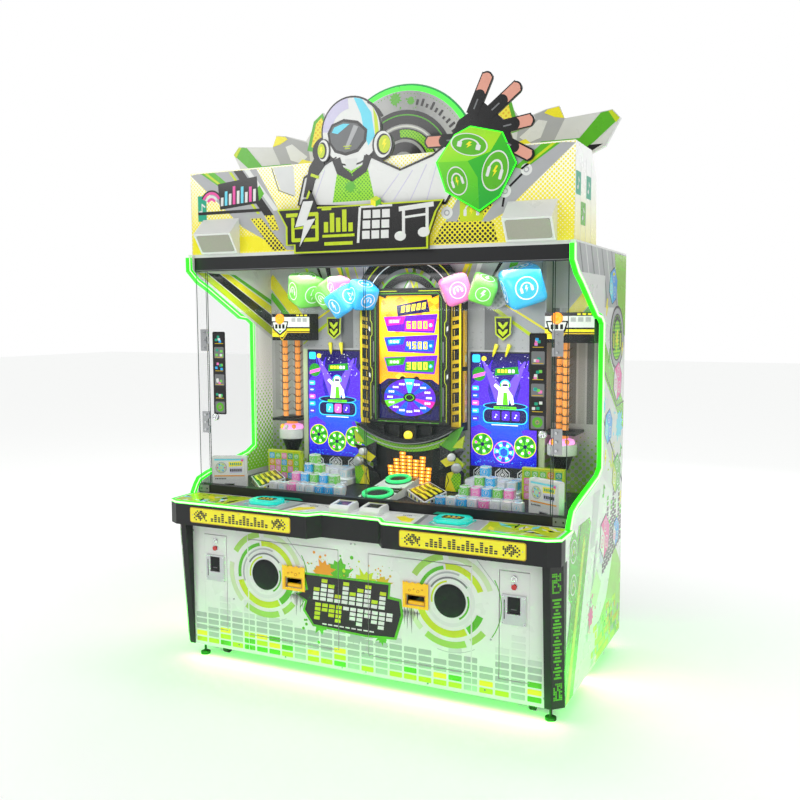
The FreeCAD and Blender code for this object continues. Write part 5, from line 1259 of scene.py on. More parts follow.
def small_mannequin(art):
    """Mannequin behind the desk, no face."""
    art.poly([(-34, 306), (-24, 372), (-50, 398), (-40, 408), (-6, 384), (22, 384), (46, 350), (54, 310), (40, 306),
              (30, 340), (26, 306)], "sc_white", 4)
    art.poly([(-4, 306), (0, 366), (18, 366), (24, 306)], "sc_green", 5)
    art.disc(8, 402, 21, "sc_white", 4)
    art.arc(8, 402, 20, 26, 0, 180, "sc_cyan", 5)
    art.rect(-18, -10, 392, 410, "sc_green", 6, r=3)
    art.rect(26, 34, 392, 410, "sc_green", 6, r=3)
    art.rect(-6, 22, 396, 406, "sc_dark", 6, r=4)


def picture_badges(art):
    """Badges round the picture."""
    art.poly([(-40, 480), (70, 490), (78, 455), (-46, 446)], "sc_deepgreen", 3)
    for k in range(5):
        art.rect(-30 + k * 18, -18 + k * 18, 460, 476, "sc_yellow" if k < 3 else "sc_white", 4)
    art.rect(-160, -120, 508, 546, "sc_cyan", 3, r=8)
    art.disc(-100, 526, 12, "sc_yellow", 3)
    for x0, x1 in ((-84, -34), (80, 134)):
        art.rect(x0, x1, 520, 534, "sc_dark", 3, r=6)
    art.disc(-126, 452, 34, "sc_deepgreen", 3)
    art.poly([(-158, 430), (-96, 446), (-92, 464), (-154, 448)], "sc_pink", 4)
    for z, look in ((372, "sc_cyan"), (336, "sc_blue"), (300, "sc_pink"), (262, "sc_cyan"), (224, "sc_violet")):
        art.rect(-160, -126, z, z + 22, look, 3, r=5)
        art.rect(-154, -136, z + 8, z + 14, "sc_white", 4)
    art.poly([(-166, 60), (-60, 170), (-120, 206), (-166, 190)], "sc_violet", 1)
    art.poly([(166, 60), (90, 180), (130, 206), (166, 190)], "sc_violet", 1)


def prize_wheels(art, s, draw):
    """Three wheels along the picture's foot."""
    for k, (x, z) in enumerate(((-106, 110), (4, 78), (110, 108))):
        special = s > 0 and k == 1
        art.disc(x, z, 54, "sc_yellow" if not special else "sc_pink", 4)
        art.disc(x, z, 51, "sc_green" if not special else "sc_cyan", 5)
        for j in range(6):
            a = j * 60 + 12 * k
            if special:
                art.arc(x, z, 26, 50, a, a + 28, "sc_violet", 6)
            else:
                art.arc(x, z, 8, 51, a, a + 30, "sc_deepgreen", 6)
            t = math.radians(a + 45)
            look = "sc_pink" if j == (k + 2) % 6 else "sc_white"
            art.disc(x + 34 * math.cos(t), z + 34 * math.sin(t), 7, look, 7, sides=10)
        if special:
            art.poly([(x - 18, z + 8), (x, z + 20), (x + 18, z + 8), (x + 18, z - 14), (x, z - 24), (x - 18, z - 14)],
                     "sc_blue", 7)
        else:
            art.disc(x, z, 10, "sc_dark", 7, sides=20)
    for k in range(26):
        art.disc(draw.uniform(-160, 160), draw.uniform(8, 36), 1.6, "sc_cyan", 3, sides=6)


def octagon_marks(side, cx):
    """Octagon marks under the display."""
    marks = Art("marks_" + side, "cabinet", (cx, 172, 900), FRONT, step=0.6)
    for x in (-112, 0, 112):
        octo = [(x + 38 * math.cos(math.radians(22.5 + 45 * k)), 30 * math.sin(math.radians(22.5 + 45 * k)))
                for k in range(8)]
        for k in range(8):
            if k not in (1, 5):
                marks.line([octo[k], octo[(k + 1) % 8]], 4.6, "white", 1)
        for q in (15, 24):
            for sx in (-1, 1):
                marks.line([(x + sx * 3, q), (x + sx * (q + 3), 0), (x + sx * 3, -q)], 3.8, "white", 1)
        marks.poly([(x - 9, 0), (x, 9), (x + 9, 0), (x, -9)], "white", 1)
    for k in range(42):
        marks.disc(-164 + k * 8, -40, 1.8, "steelgrey", 0, sides=6)
    marks.build()


def side_screen(side, s):
    """One side display with its foot, and the marks under it."""
    cx, z0 = s * SCREEN_X, 932
    soft_box("screen_foot_" + side, (cx - 171, 172, 846), (cx + 171, 189.5, 932), 3, "board", "cabinet")
    art = Art("display_" + side, "cabinet", (cx, 181, z0), FRONT, step=0.3, box=(-166, 166, 2, 552))
    art.rect(-166, 166, 2, 552, "sc_bg", 0)
    draw = random.Random(60 + s)
    beams_and_desk(art, s, draw)
    small_mannequin(art)
    picture_badges(art)
    prize_wheels(art, s, draw)
    art.build()
    octagon_marks(side, cx)


def score_rows(art):
    """Shards, a heading and three rows of numbers."""
    draw = random.Random(77)
    for _ in range(22):
        x, z, a = draw.uniform(-150, 150), draw.uniform(150, 580), draw.uniform(14, 44)
        pts = clip([(x, z), (x + a, z + a * 0.5), (x + a * 0.3, z + a), (x - a * 0.4, z + a * 0.6)],
                   (-165, 165, 0, 608))
        if pts:
            art.poly(pts, draw.choice(("sc_orange", "sc_yellow")), 1)
    art.poly([(-70, 560), (96, 590), (110, 528), (-64, 508)], "sc_dark", 2)
    for k in range(5):
        x = -46 + k * 28
        art.poly([(x, 524 + k * 4), (x + 20, 528 + k * 4), (x + 24, 560 + k * 4), (x + 4, 556 + k * 4)],
                 "sc_yellow", 3)
        art.rect(x + 6, x + 16, 536 + k * 4, 541 + k * 4, "sc_dark", 4)
    rows = ((430, "sc_magenta", "sc_pink", "6000"), (330, "sc_blue", "sc_cyan", "4500"),
            (230, "sc_deepgreen", "sc_green", "3000"))
    for z, tone, tip, number in rows:
        art.poly([(-140, z + 74), (150, z + 88), (134, z - 4), (-118, z + 4)], "sc_purple", 2)
        art.poly([(-134, z + 70), (-20, z + 78), (-34, z + 40), (-122, z + 30)], tone, 3)
        art.poly([(-116, z + 60), (-48, z + 66), (-54, z + 46), (-112, z + 40)], tip, 4)
        for k in range(3):
            art.rect(-106 + k * 18, -94 + k * 18, z + 46, z + 58, "sc_white", 5)
        art.poly([(-20, z + 52), (134, z + 62), (128, z + 6), (-26, z + 8)], tone, 3)
        art.digits(number, -14, z + 17, 20, 36, 7, "sc_yellow", 4)
        art.disc(114, z + 34, 9, "sc_cyan", 4, sides=16)
        art.disc(114, z + 34, 4, "sc_white", 5, sides=10)


def gear_wheel(art):
    """Prize wheel in a dark gear."""
    art.poly([(-165, 0), (165, 0), (165, 170), (120, 200), (-120, 200), (-165, 170)], "sc_dark", 2)
    for k in range(12):
        t = math.radians(k * 30 + 15)
        art.disc(146 * math.cos(t), 108 + 92 * math.sin(t), 17, "board", 3, sides=12)
    art.disc(0, 108, 150, "board", 4, squash=0.66)
    looks = ("sc_violet", "sc_purple", "sc_blue", "sc_magenta", "sc_violet", "sc_purple", "sc_blue", "sc_violet",
             "sc_cyan", "sc_purple", "sc_violet", "sc_blue", "sc_violet", "sc_green", "sc_purple", "sc_blue")
    for k, look in enumerate(looks):
        art.arc(0, 108, 30, 140, k * 22.5 - 101.25, k * 22.5 - 78.75, look, 5, squash=0.66)
        t = math.radians(k * 22.5 - 90)
        x, z = 106 * math.cos(t), 108 + 0.66 * 106 * math.sin(t)
        for j in (-1, 0, 1):
            art.rect(x - 5 + j * 11, x + 3 + j * 11, z - 5, z + 5, "sc_white", 6, r=1.5)
    art.disc(0, 108, 34, "board", 6, squash=0.66)
    art.ring(0, 108, 20, 24, "sc_green", 7, squash=0.66)


def frame_lines():
    """Glowing lines on the display's frame."""
    frame_art = Art("frame_lines", "cabinet", (0, 83, 0), FRONT, step=0.6)
    for s in (-1, 1):
        outer = mirrored(s, [(205, 1150), (205, 1330), (196, 1344), (196, 1400), (205, 1414), (205, 1560),
                             (196, 1574), (196, 1630), (205, 1644), (205, 1752), (172, 1786), (60, 1786)])
        frame_art.line(outer, 3.2, "lime", 0)
        frame_art.line(mirrored(s, [(178, 1152), (178, 1750), (160, 1774), (0, 1774)]), 2.4, "green", 0)
        for z in (1372, 1602):
            frame_art.poly(mirrored(s, [(206, z - 14), (214, z - 6), (214, z + 14), (206, z + 6)]), "white", 0)
        frame_art.rect(s * 188 - 3, s * 188 + 3, 1180, 1320, "steelgrey", 0)
        frame_art.rect(s * 188 - 3, s * 188 + 3, 1440, 1540, "steelgrey", 0)
    frame_art.line([(-165, 1144), (165, 1144)], 3, "green", 0)
    for x in (-200, -120, 0, 120, 200):
        frame_art.disc(x, 1144 if abs(x) < 150 else 1160, 2.6, "steel", 2, sides=10)
    frame_art.build()


def column_wings():
    """Gold wings beside the display."""
    wings = Art("column_wings", "cabinet", (0, 104.5, 0), FRONT, step=0.6)
    for s in (-1, 1):
        wings.poly(mirrored(s, [(222, 1128), (273, 1128), (273, 1776), (222, 1796)]), "gold", 0)
        z = 1150
        k = 0
        while z < 1740:
            high = (46, 30, 62, 38)[k % 4]
            wings.poly(mirrored(s, [(228, z), (262, z + 6), (262, z + high - 4), (228, z + high - 10)]), "black", 1)
            wings.line([(s * 238, z + 6), (s * 238, z + high - 16)], 3, "gold", 2)
            z += high + 8
            k += 1
        wings.rect(s * 268 - 4, s * 268 + 4, 1130, 1770, "yellow", 2)
    wings.build()


def centre_display():
    """Upright display in the middle, its frame and the gold wings beside it."""
    art = Art("display_centre", "cabinet", (0, 104, 1156), FRONT, step=0.3, box=(-165, 165, 0, 608))
    art.rect(-165, 165, 0, 608, "sc_fire", 0)
    score_rows(art)
    gear_wheel(art)
    art.build()
    frame_lines()
    column_wings()
    for side, s in (LEFT, RIGHT):
        x0, x1 = sorted((s * 274, s * 286))
        soft_box("amber_strip_" + side, (x0, 120, 1420), (x1, 150, 1690), 2, "amber", "cabinet")
        soft_box("amber_strip_low_" + side, (x0, 120, 1150), (x1, 150, 1400), 2, "amber", "cabinet")


TRAY_R = 464.0          # curve of the ball tray's front


def lime_arc():
    """Dotted arc under the tray, with its spikes."""
    board = Art("lime_arc", "cabinet", (0, 88, 0), FRONT, step=1.0)
    half = 262.0
    cz = 1119.0 - 88 + TRAY_R
    points_out, points_in = [], []
    for k in range(25):
        x = -half + 2 * half * k / 24
        points_in.append((x, cz - math.sqrt(TRAY_R ** 2 - x * x)))
        points_out.append((x * 0.98, cz - math.sqrt((TRAY_R + 34) ** 2 - x * x)))
    board.poly(points_in + points_out[::-1], "lime_dots", thick=8)
    for s in (-1, 1):
        board.poly(mirrored(s, [(236, 1110), (296, 1136), (262, 1060), (292, 1040), (228, 1010), (180, 1036)]),
                   "green", thick=9)
        board.poly(mirrored(s, [(262, 1060), (300, 1092), (290, 1030), (240, 1030)]), "lime", thick=10)
        # black spikes behind the knobs
        board.poly(mirrored(s, [(170, 1040), (236, 1010), (300, 1020), (262, 972), (292, 932), (232, 946),
                                (168, 918), (176, 978)]), "black", thick=11)
        board.poly(mirrored(s, [(176, 962), (246, 1002), (232, 974), (262, 958), (206, 934)]), "yellow", thick=12)
        board.poly(mirrored(s, [(262, 986), (300, 950), (286, 930), (250, 958)]), "lime", thick=12)
    board.build()


def level_display():
    """Level display: columns of lit and dark cells."""
    level = Art("level_display", "cabinet", (0, 104.5, 0), FRONT, step=0.8)
    level.poly([(-158, 1022), (158, 1022), (132, 822), (-132, 822)], "board", 0)
    heights = (5, 7, 9, 8, 7, 8, 5)
    for k, count in enumerate(heights):
        for row in range(10):
            z0 = 836 + row * 17.6
            spread = 0.86 + 0.14 * row / 10
            x0, x1 = (-133 + k * 38) * spread, (-133 + k * 38 + 33) * spread
            lit = row < count
            level.rect(x0, x1, z0, z0 + 13.4, "lamp" if lit else "cell_off", 1, r=2)
            if lit:
                mid = (x0 + x1) / 2
                level.disc(mid, z0 + 6.7, 4.4, "lamp_hot", 2, sides=12)
    level.build()


def knobs(side, s):
    """Knobs on short stems."""
    for k, (x, z, r) in enumerate(((236, 985, 19), (262, 934, 24))):
        lathe("knob_%s_%d" % (side, k), [(r * 0.6, 0), (r, 4), (r, 10), (r * 0.84, 12), (r * 0.84, 20), (r, 22),
              (r, 30), (r * 0.7, 34), (r * 0.3, 35), (0.5, 33)], (s * x, 78, z), (s * 0.25, -1, 0.05),
              "bezel" if k else "white", "cabinet", 24)


def wedge_print(side, s):
    """Dotted wedge under the knobs."""
    wedge = Art("wedge_print_" + side, "cabinet", (0, 65, 0), FRONT, step=0.7)
    wedge.poly(mirrored(s, [(205, 820), (284, 820), (289, 905), (262, 926), (214, 905)]), "lime_dots", 0)
    wedge.poly(mirrored(s, [(205, 820), (262, 820), (236, 880), (262, 926), (214, 905)]), "yellow", 1)
    wedge.poly(mirrored(s, [(262, 820), (284, 820), (286, 860)]), "green", 1)
    wedge.line(mirrored(s, [(205, 822), (226, 872), (214, 905)]), 3, "black", 2)
    wedge.build()


def column_low():
    """Lime wings, level display and knobs under the ball tray."""
    lime_arc()
    level_display()
    for side, s in (LEFT, RIGHT):
        knobs(side, s)
        wedge_print(side, s)
    lathe("prize_ball", ball_profile(22, 14), (6, 72, 1080), (0, 0, 1), "sc_yellow", "cabinet", 32)
    rim = [(x, 44, 1116 - 75 + (TRAY_R - math.sqrt(TRAY_R ** 2 - x * x))) for x in range(-250, 251, 20)]
    tube("tray_lip", rim, 3.0, "steelgrey", "cabinet")
    tube("tray_lip_low", [(x, y, z - 22) for x, y, z in rim[2:-2]], 2.2, "steel", "cabinet")


def torus(name, centre, radius, minor, tilt, look, body):
    points = []
    for k in range(48):
        t = 2 * math.pi * k / 48
        y = radius * math.sin(t)
        points.append((centre[0] + radius * math.cos(t), centre[1] + y * math.cos(tilt),
                       centre[2] + y * math.sin(tilt)))
    return tube(name, points, minor, look, body, closed=True)


def ramp_rings(slope):
    """Glowing rings in the ramp, each with its cup."""
    for name, y, r in (("ring_front", -251, 66), ("ring_back", -27, 56)):
        z = 829 + (y + 330) * math.tan(slope) + 5
        torus(name, (0, y, z + 6), r, 8.5, slope, "ring", "cabinet")
        torus(name + "_inner", (0, y, z + 3), r - 15, 4.5, slope, "ring_dark", "cabinet")
        lathe(name + "_cup", [(r - 14, 4), (r - 20, 0), (r * 0.5, -6), (r * 0.3, -12), (4, -13)], (0, y, z),
              (0, -math.sin(slope), math.cos(slope)), "board", "cabinet", 40)


def slat_covers():
    """Slatted covers of the chutes, with striped sides."""
    quad = [(-357, -115), (-194, -280), (-161, -95), (-308, 38)]
    tilt = math.atan2(32, 320)
    low = -281
    for k, mid in enumerate((-442.5, 442.5)):
        plane = ((1, 0, 0), (0, math.cos(tilt), math.sin(tilt)))
        cover = Art("slat_cover_%d" % k, "cabinet", (mid, low, 831), plane, step=0.6)
        pts = [(x, (y - low) / math.cos(tilt)) for x, y in quad]
        cx, cy = sum(p[0] for p in pts) / 4, sum(p[1] for p in pts) / 4
        inner = [(cx + (x - cx) * 0.93, cy + (y - cy) * 0.93) for x, y in pts]
        cover.poly(pts, "white", 0)
        cover.poly(inner, "black", 1)
        a, b, c, d = [(cx + (x - cx) * 0.86, cy + (y - cy) * 0.86) for x, y in pts]
        for j in range(4):
            t0, t1 = j / 4 + 0.02, (j + 1) / 4 - 0.05

            def at(u, v):
                return tuple((p + (q - p) * v) for p, q in zip(
                    (a[0] + (b[0] - a[0]) * u, a[1] + (b[1] - a[1]) * u),
                    (d[0] + (c[0] - d[0]) * u, d[1] + (c[1] - d[1]) * u)))
            cover.poly([at(0.03, t0), at(0.42 + 0.1 * (j % 2), t0), at(0.5 + 0.1 * (j % 2), t0 + 0.06),
                        at(0.97, t0 + 0.06),
                        at(0.97, t1), at(0.03, t1)], "yellow", thick=3.4)
            cover.poly([at(0.1, t1 - 0.07), at(0.5, t1 - 0.07), at(0.56, t1 - 0.02), at(0.1, t1 - 0.02)], "black",
                       thick=3.7)
        cover.build()
        for j, (p, q) in enumerate(((0, 1), (1, 2))):
            ax, ay = quad[p]
            bx, by = quad[q]
            across = Vector((bx - ax, by - ay, 0))
            side = Art("slat_side_%d_%d" % (k, j), "cabinet", (mid + ax, ay, 815), (tuple(across), (0, 0, 1)),
                       step=0.5)
            za = 16 + (ay - low) * math.tan(tilt)
            zb = 16 + (by - low) * math.tan(tilt)
            long = across.length
            side.poly([(3, 3), (long - 3, 3), (long - 3, zb - 3), (3, za - 3)], "paper", 0)
            for i in range(int(long // 26)):
                t = (i + 0.5) * 26 / long
                zz = za + (zb - za) * t
                if zz > 12:
                    side.rect(t * long - 8, t * long + 6, 5, zz - 6, "yellow" if i % 2 else "black", 1)
            side.build()


def islands():
    """Ramp with two rings, and the two slatted covers of the play field."""
    slope = math.radians(7.4)
    plane = ((1, 0, 0), (0, math.cos(slope), math.sin(slope)))
    art = Art("ramp_print", "cabinet", (0, -330, 829.2), plane, step=0.5)
    art.rect(-79, 79, 1, 372, "black", 0)
    for z in (60, 250):
        art.poly([(-79, z - 50), (-30, z - 58), (30, z - 58), (79, z - 50), (79, z + 66), (30, z + 76), (-30, z + 76),
                  (-79, z + 66)], "white", 1)
    art.line([(-70, 160), (-20, 148), (20, 148), (70, 160)], 3, "grey", 2)
    art.line([(-60, 352), (-20, 336), (20, 336), (60, 352)], 3, "lime", 2)
    for x in (-62, 62):
        for z in (22, 120, 204, 330):
            art.disc(x, z, 5, "steelgrey", 2, sides=12)
    for z, r in ((79, 74), (304, 62)):
        art.disc(0, z, r + 3, "board", 2)
        for k in range(24):
            t = math.radians(15 * k)
            art.disc((r - 18) * math.cos(t), z + (r - 18) * math.sin(t), 2.6, "green", 3, sides=8)
    art.build()
    ramp_rings(slope)
    slat_covers()


def reader_label(side, s):
    """Label on a reader box."""
    turn = math.radians(27)
    x0, y0 = s * 727, -254
    across = Vector((math.cos(turn), -s * math.sin(turn), 0))
    origin = Vector((x0, y0, 815)) if s > 0 else Vector((x0, y0, 815)) - across * 172
    label = Art("reader_print_" + side, "cabinet", tuple(origin), (tuple(across), (0, 0, 1)), step=0.5)
    label.rect(8, 164, 40, 152, "paper", 0, r=5)
    label.rect(12, 160, 60, 148, "white", 1, r=4)
    label.rect(12, 160, 60, 66, "orange", 2)
    label.rect(12, 160, 140, 148, "cyan_print", 2)
    label.disc(46, 104, 27, "mist", 2)
    label.ring(46, 104, 24, 28, "grey", 3)
    label.ring(46, 104, 10, 14, "cyan_print", 3)
    for k in range(6):
        t = math.radians(60 * k)
        label.disc(46 + 18 * math.cos(t), 104 + 18 * math.sin(t), 4, ("pink", "lime", "blue")[k % 3], 4, sides=10)
    label.poly([(82, 132), (152, 136), (150, 112), (84, 108)], "yellow", 2)
    label.poly([(84, 104), (152, 106), (148, 78), (88, 76)], "lilac", 2)
    for k in range(6):
        label.rect(90 + k * 10, 97 + k * 10, 84, 98, "black", 3, r=1.5)
        label.rect(90 + k * 10, 96 + k * 10, 116, 128, "teal", 3, r=1.5)
    label.splat(150, 140, 6, "pink", 5, 3, drops=3)
    for k in range(7):
        label.rect(16 + k * 8, 21 + k * 8, 46, 52, "black", 1)
    label.rect(60, 112, 10, 26, "grey", 0, r=3)
    label.rect(64, 108, 14, 22, "black", 1, r=2)
    label.build()


def racks_and_readers():
    """Grids of cubes on the racks, and labels of the reader boxes."""
    looks = ("cube_blue", "cube_green", "cube_pink", "teal", "cube_green", "orange", "cube_blue", "cube_pink")
    for side, s in (LEFT, RIGHT):
        art = Art("rack_print_" + side, "cabinet", (0, 45, 0), FRONT, step=0.5)
        pitch = 186 / 5
        draw = random.Random(90 + s)
        for col in range(5):
            for row in range(4):
                x = s * (600 + 7 + (col + 0.5) * pitch)
                z = 965 - 10 - (row + 0.5) * (pitch - 3) - 1.5
                art.rect(x - 15.5, x + 15.5, z - 15, z + 15, draw.choice(looks), thick=0.5, r=4)
                art.ring(x, z, 8.4, 10.6, "white", thick=0.9)
                pick = draw.random()
                if pick < 0.34:
                    art.note(x, z, 8, "white", 2)
                elif pick < 0.67:
                    art.bolt(x, z, 7, "white", 2)
                else:
                    art.phones(x, z, 7, "white", "white", 2)
        art.line([(s * 602, 963), (s * 798, 963)], 3, "yellow", 0)
        art.build()
        reader_label(side, s)


def bristles(side, s):
    """Collars and bristles round the two tubes of a side."""
    verts, faces = [], []
    for t, (x, y) in enumerate(((767, 174.5), (722, 227.5))):
        for k in range(10):
            z = 1160 + k * 38
            torus("collar_%s_%d_%d" % (side, t, k), (s * x, y, z), 15.5, 2.4, 0, "bristle", "cabinet")
            for j in range(8):
                a = math.radians(j * 45 + k * 20)
                d = Vector((math.cos(a), math.sin(a), 0))
                q = Vector((-math.sin(a), math.cos(a), 0))
                base = Vector((s * x, y, z)) + d * 15
                tip = base + d * 22 + Vector((0, 0, 18))
                n = len(verts)
                for p in (base + q * 1.6, base - q * 1.6, base + Vector((0, 0, 4)), tip):
                    verts.append(p / 1000)
                faces += [[n, n + 1, n + 3], [n + 1, n + 2, n + 3], [n + 2, n, n + 3], [n, n + 2, n + 1]]
    make_object("bristles_" + side, verts, faces, ["bristle"], [0] * len(faces), "cabinet")


def tower_sign(k, x0):
    """Sign over a tower, with a shield and a coin."""
    s = -1 if x0 < 0 else 1
    ex = -744 if s < 0 else 744
    art = Art("tower_sign_%d" % k, "cabinet", (x0, 94.5, 1540), FRONT, step=0.6)
    art.rect(0, 228, 0, 138, "black", 0)
    art.rect(0, 228, 70, 122, "white", 1)
    art.poly([(0, 62), (228, 62), (228, 50), (90, 50), (66, 18), (0, 18)], "yellow", 1)
    art.poly([(0, 46), (30, 46), (60, 4), (90, 46), (228, 46), (228, 40), (96, 40), (60, -4), (28, 40), (0, 40)],
             "gold", 2)
    for j in range(3):
        art.rect(120 + j * 34, 144 + j * 34, 96, 116, "grey", 2)
        art.rect(150 + j * 24, 166 + j * 24, 126, 134, "yellow", 2)
    cx = ex - x0
    art.poly([(cx - 52, 100), (cx + 52, 100), (cx + 40, 54), (cx, 26), (cx - 40, 54)], "black", 3)
    art.poly([(cx - 44, 94), (cx + 44, 94), (cx + 33, 58), (cx, 35), (cx - 33, 58)], "white", 4)
    for j in (-1, 0, 1):
        art.rect(cx + j * 22 - 7, cx + j * 22 + 7, 62, 84, "black", 5, r=2)
    art.poly([(cx - 12, 52), (cx + 12, 52), (cx, 40)], "green", 5)
    art.build()
    lathe("sign_coin_%d" % k, [(27, 0), (27, 5), (25, 8), (21, 8), (20, 6.5), (8, 6.5), (6, 8), (0.5, 8)],
          (ex, 94.5, 1652), (0, -1, 0), "sc_orange", "cabinet", 40)


def drum(side, s):
    """Drum stand with its glow, funnel, balls and plates."""
    x, y = s * 744.5, 200
    lathe("drum_skin_" + side, [(69, 0), (69.6, 3), (69.6, 48), (68.8, 51.6), (66, 52.4)], (x, y, 1012),
          (0, 0, 1), "white", "cabinet", 56)
    lathe("drum_glow_" + side, [(58, 0), (60, 6), (56, 18), (30, 26), (0.6, 26)], (x, y, 1064.5), (0, 0, 1),
          "pinkglow", "cabinet", 40)
    lathe("funnel_skin_" + side, [(30, 0), (55, 70), (56, 72)], (x, y, 939.5), (0, 0, 1), "board", "cabinet", 40)
    for k, (dx, dy, look) in enumerate(((-30, -46, "lamp"), (34, -40, "tube"), (0, -58, "white"))):
        lathe("drum_ball_%s_%d" % (side, k), ball_profile(13, 10), (x + dx, y + dy, 1077), (0, 0, 1), look,
              "cabinet", 20)
    x0, x1 = sorted((s * 665.4, s * 825.4))
    soft_box("tower_shelf_" + side, (x0, 129, 1111), (x1, 295.5, 1125), 1.5, "satin", "cabinet")
    lathe("tower_plate_" + side, [(60, 0), (60, 5), (57, 8), (20, 9)], (x, 200, 1124), (0, 0, 1), "satin",
          "cabinet", 8)


def towers():
    """Signs, collars, bristles and drums of the side towers."""
    for k, x0 in enumerate((-793, 687)):
        tower_sign(k, x0)
    for side, s in (LEFT, RIGHT):
        bristles(side, s)
        drum(side, s)


def alcoves():
    """Stripes at the back of the towers' alcoves."""
    alcove = Art("alcove_print", "cabinet", (0, 295, 0), FRONT, step=0.4)
    for s in (-1, 1):
        for k in range(6):
            alcove.poly([(s * (668 + k * 42), 1150), (s * (700 + k * 42), 1150), (s * (700 + k * 42), 1700),
                         (s * (668 + k * 42), 1700)], "grey" if k % 2 else "steelgrey", 0)
        for a, b, w, look in (((926, 1860), (668, 1560), 60, "yellow"), ((926, 1780), (700, 1530), 30, "green")):
            alcove.line([(s * a[0], a[1]), (s * b[0], b[1])], w, look, 1)
    alcove.build()


def inner_walls():
    """Inner faces of the side panels: dots that glow faintly as painted light, with bold bands above."""
    for side, s in (LEFT, RIGHT):
        plane = WEST if s > 0 else EAST
        inner = Art("inner_wall_" + side, "cabinet", (s * INNER_X, 0, 0), plane, step=0.4)
        m = -s
        inner.poly([(m * 130, 960), (m * 294, 960), (m * 294, 1640), (m * 130, 1640)], "side_dots", 0)
        inner.poly([(m * -40, 842), (m * 294, 842), (m * 294, 960), (m * 130, 960), (m * 40, 930)], "side_dots", 0)
        inner.poly([(m * -330, 1850), (m * -250, 1815), (m * 294, 1540), (m * 294, 1880), (m * -370, 1880)],
                   "white", 0)
        for off, wide, look in ((0, 46, "lime"), (52, 60, "black"), (118, 44, "yellow"), (170, 26, "green")):
            inner.poly([(m * (-350 + off * 1.6), 1880), (m * (-350 + (off + wide) * 1.6), 1880),
                        (m * 294, 1560 + off + wide), (m * 294, 1560 + off)], look, 1)
        inner.build()


def header_print():
    """Shards over the play field."""
    header = Art("header_print", "cabinet", (0, 120, 0), FRONT, step=0.5)
    draw = random.Random(33)
    header.rect(-662, 662, 1776, 1946, "grey", 0)
    for k in range(26):
        x = draw.uniform(-640, 640)
        lean = draw.uniform(40, 120) * (1 if x < 0 else -1)
        w = draw.uniform(10, 34)
        pts = clip([(x, 1946), (x + w, 1946), (x + lean + w * 0.2, 1778), (x + lean, 1778)], (-662, 662, 1776, 1946))
        if pts:
            header.poly(pts, ("lime", "yellow", "green", "black", "white", "lime")[k % 6], 1)
    header.build()


def wall_and_header():
    """Prints behind the displays, with a darker column on each side that is a painted shadow of the hanging cubes,
    and prints in the alcoves, on the inner sides and over the play field.
    """
    art = Art("wall_print_and_painted_shadow", "cabinet", (0, 190, 0), FRONT, step=0.4)
    for s in (-1, 1):
        art.poly(mirrored(s, [(276, 1500), (660, 1500), (660, 1770), (276, 1770)]), "grey", 0)
        # darker column under the hanging cubes: painted shadow of the cubes on the wall
        art.poly(mirrored(s, [(360, 1500), (430, 1500), (430, 1770), (360, 1770)]), "steelgrey", 1)
        for k in range(9):
            for j in range(3):
                art.disc(s * (300 + k * 42), 1512 + j * 36, 2.4, "steelgrey", 2, sides=8)
        for a, b, w, look in (((300, 1770), (640, 1540), 16, "lime"), ((360, 1780), (660, 1600), 10, "yellow"),
                              ((420, 1700), (660, 1520), 7, "lime")):
            art.line([(s * a[0], a[1]), (s * b[0], b[1])], w, look, 2)
        art.poly(mirrored(s, [(634, 1494), (664, 1494), (664, 905), (634, 905)]), "mist", 0)
    art.build()
    alcoves()
    inner_walls()
    header_print()
    arches = Art("arch_print", "cabinet", (0, 96, 1700), FRONT, step=0.6)
    for r, look in ((300, "black"), (268, "lime"), (262, "black"), (236, "white"), (230, "black"), (176, "green"),
                    (170, "black")):
        arches.arc(0, 0, r - 5 if look != "black" else r - 34, r, 22, 158, look, 1 if look == "black" else 2)
    arches.build()


def merged(sheets):
    """The first sheet, with the shapes of all the others."""
    for other in sheets[1:]:
        sheets[0].take(other)
    return sheets[0]


def music_cube(name, centre, size, turn, look, marks, body="cabinet"):
    """Rounded cube; returns the sheet of its ring and mark on five sides, not built yet."""
    bm = bmesh.new()
    bmesh.ops.create_cube(bm, size=size / 1000)
    bmesh.ops.bevel(bm, geom=bm.edges[:], offset=size * 0.17 / 1000, segments=4, profile=0.5, affect="EDGES")
    place = Matrix.Translation(Vector(centre) / 1000) @ turn
    bmesh.ops.transform(bm, matrix=place, verts=bm.verts)
    mesh = bpy.data.meshes.new(name)
    bm.to_mesh(mesh)
    bm.free()
    for p in mesh.polygons:
        p.use_smooth = True
    mesh.materials.append(M[look])
    riding(name, mesh, body)
    spin = turn.to_3x3()
    half = size / 2
    sheets = []
    for k, (u, v) in enumerate((FRONT, EAST, WEST, UP, BACK)):
        n = Vector(u).cross(Vector(v))
        art = Art(name + "_mark%d" % k, body, tuple(Vector(centre) + spin @ (n * half)),
                  (tuple(spin @ Vector(u)), tuple(spin @ Vector(v))), step=max(0.15, size * 0.004))
        art.ring(0, 0, size * 0.27, size * 0.30, marks, 0)
        draw = (k + int(size) + int(abs(centre[0]))) % 3
        if draw == 0:
            art.note(size * 0.03, 0, size * 0.19, marks, 0)
        elif draw == 1:
            art.phones(0, 0, size * 0.2, marks, marks, 0)
        else:
            art.bolt(0, 0, size * 0.19, marks, 0)
        sheets.append(art)
    return merged(sheets)


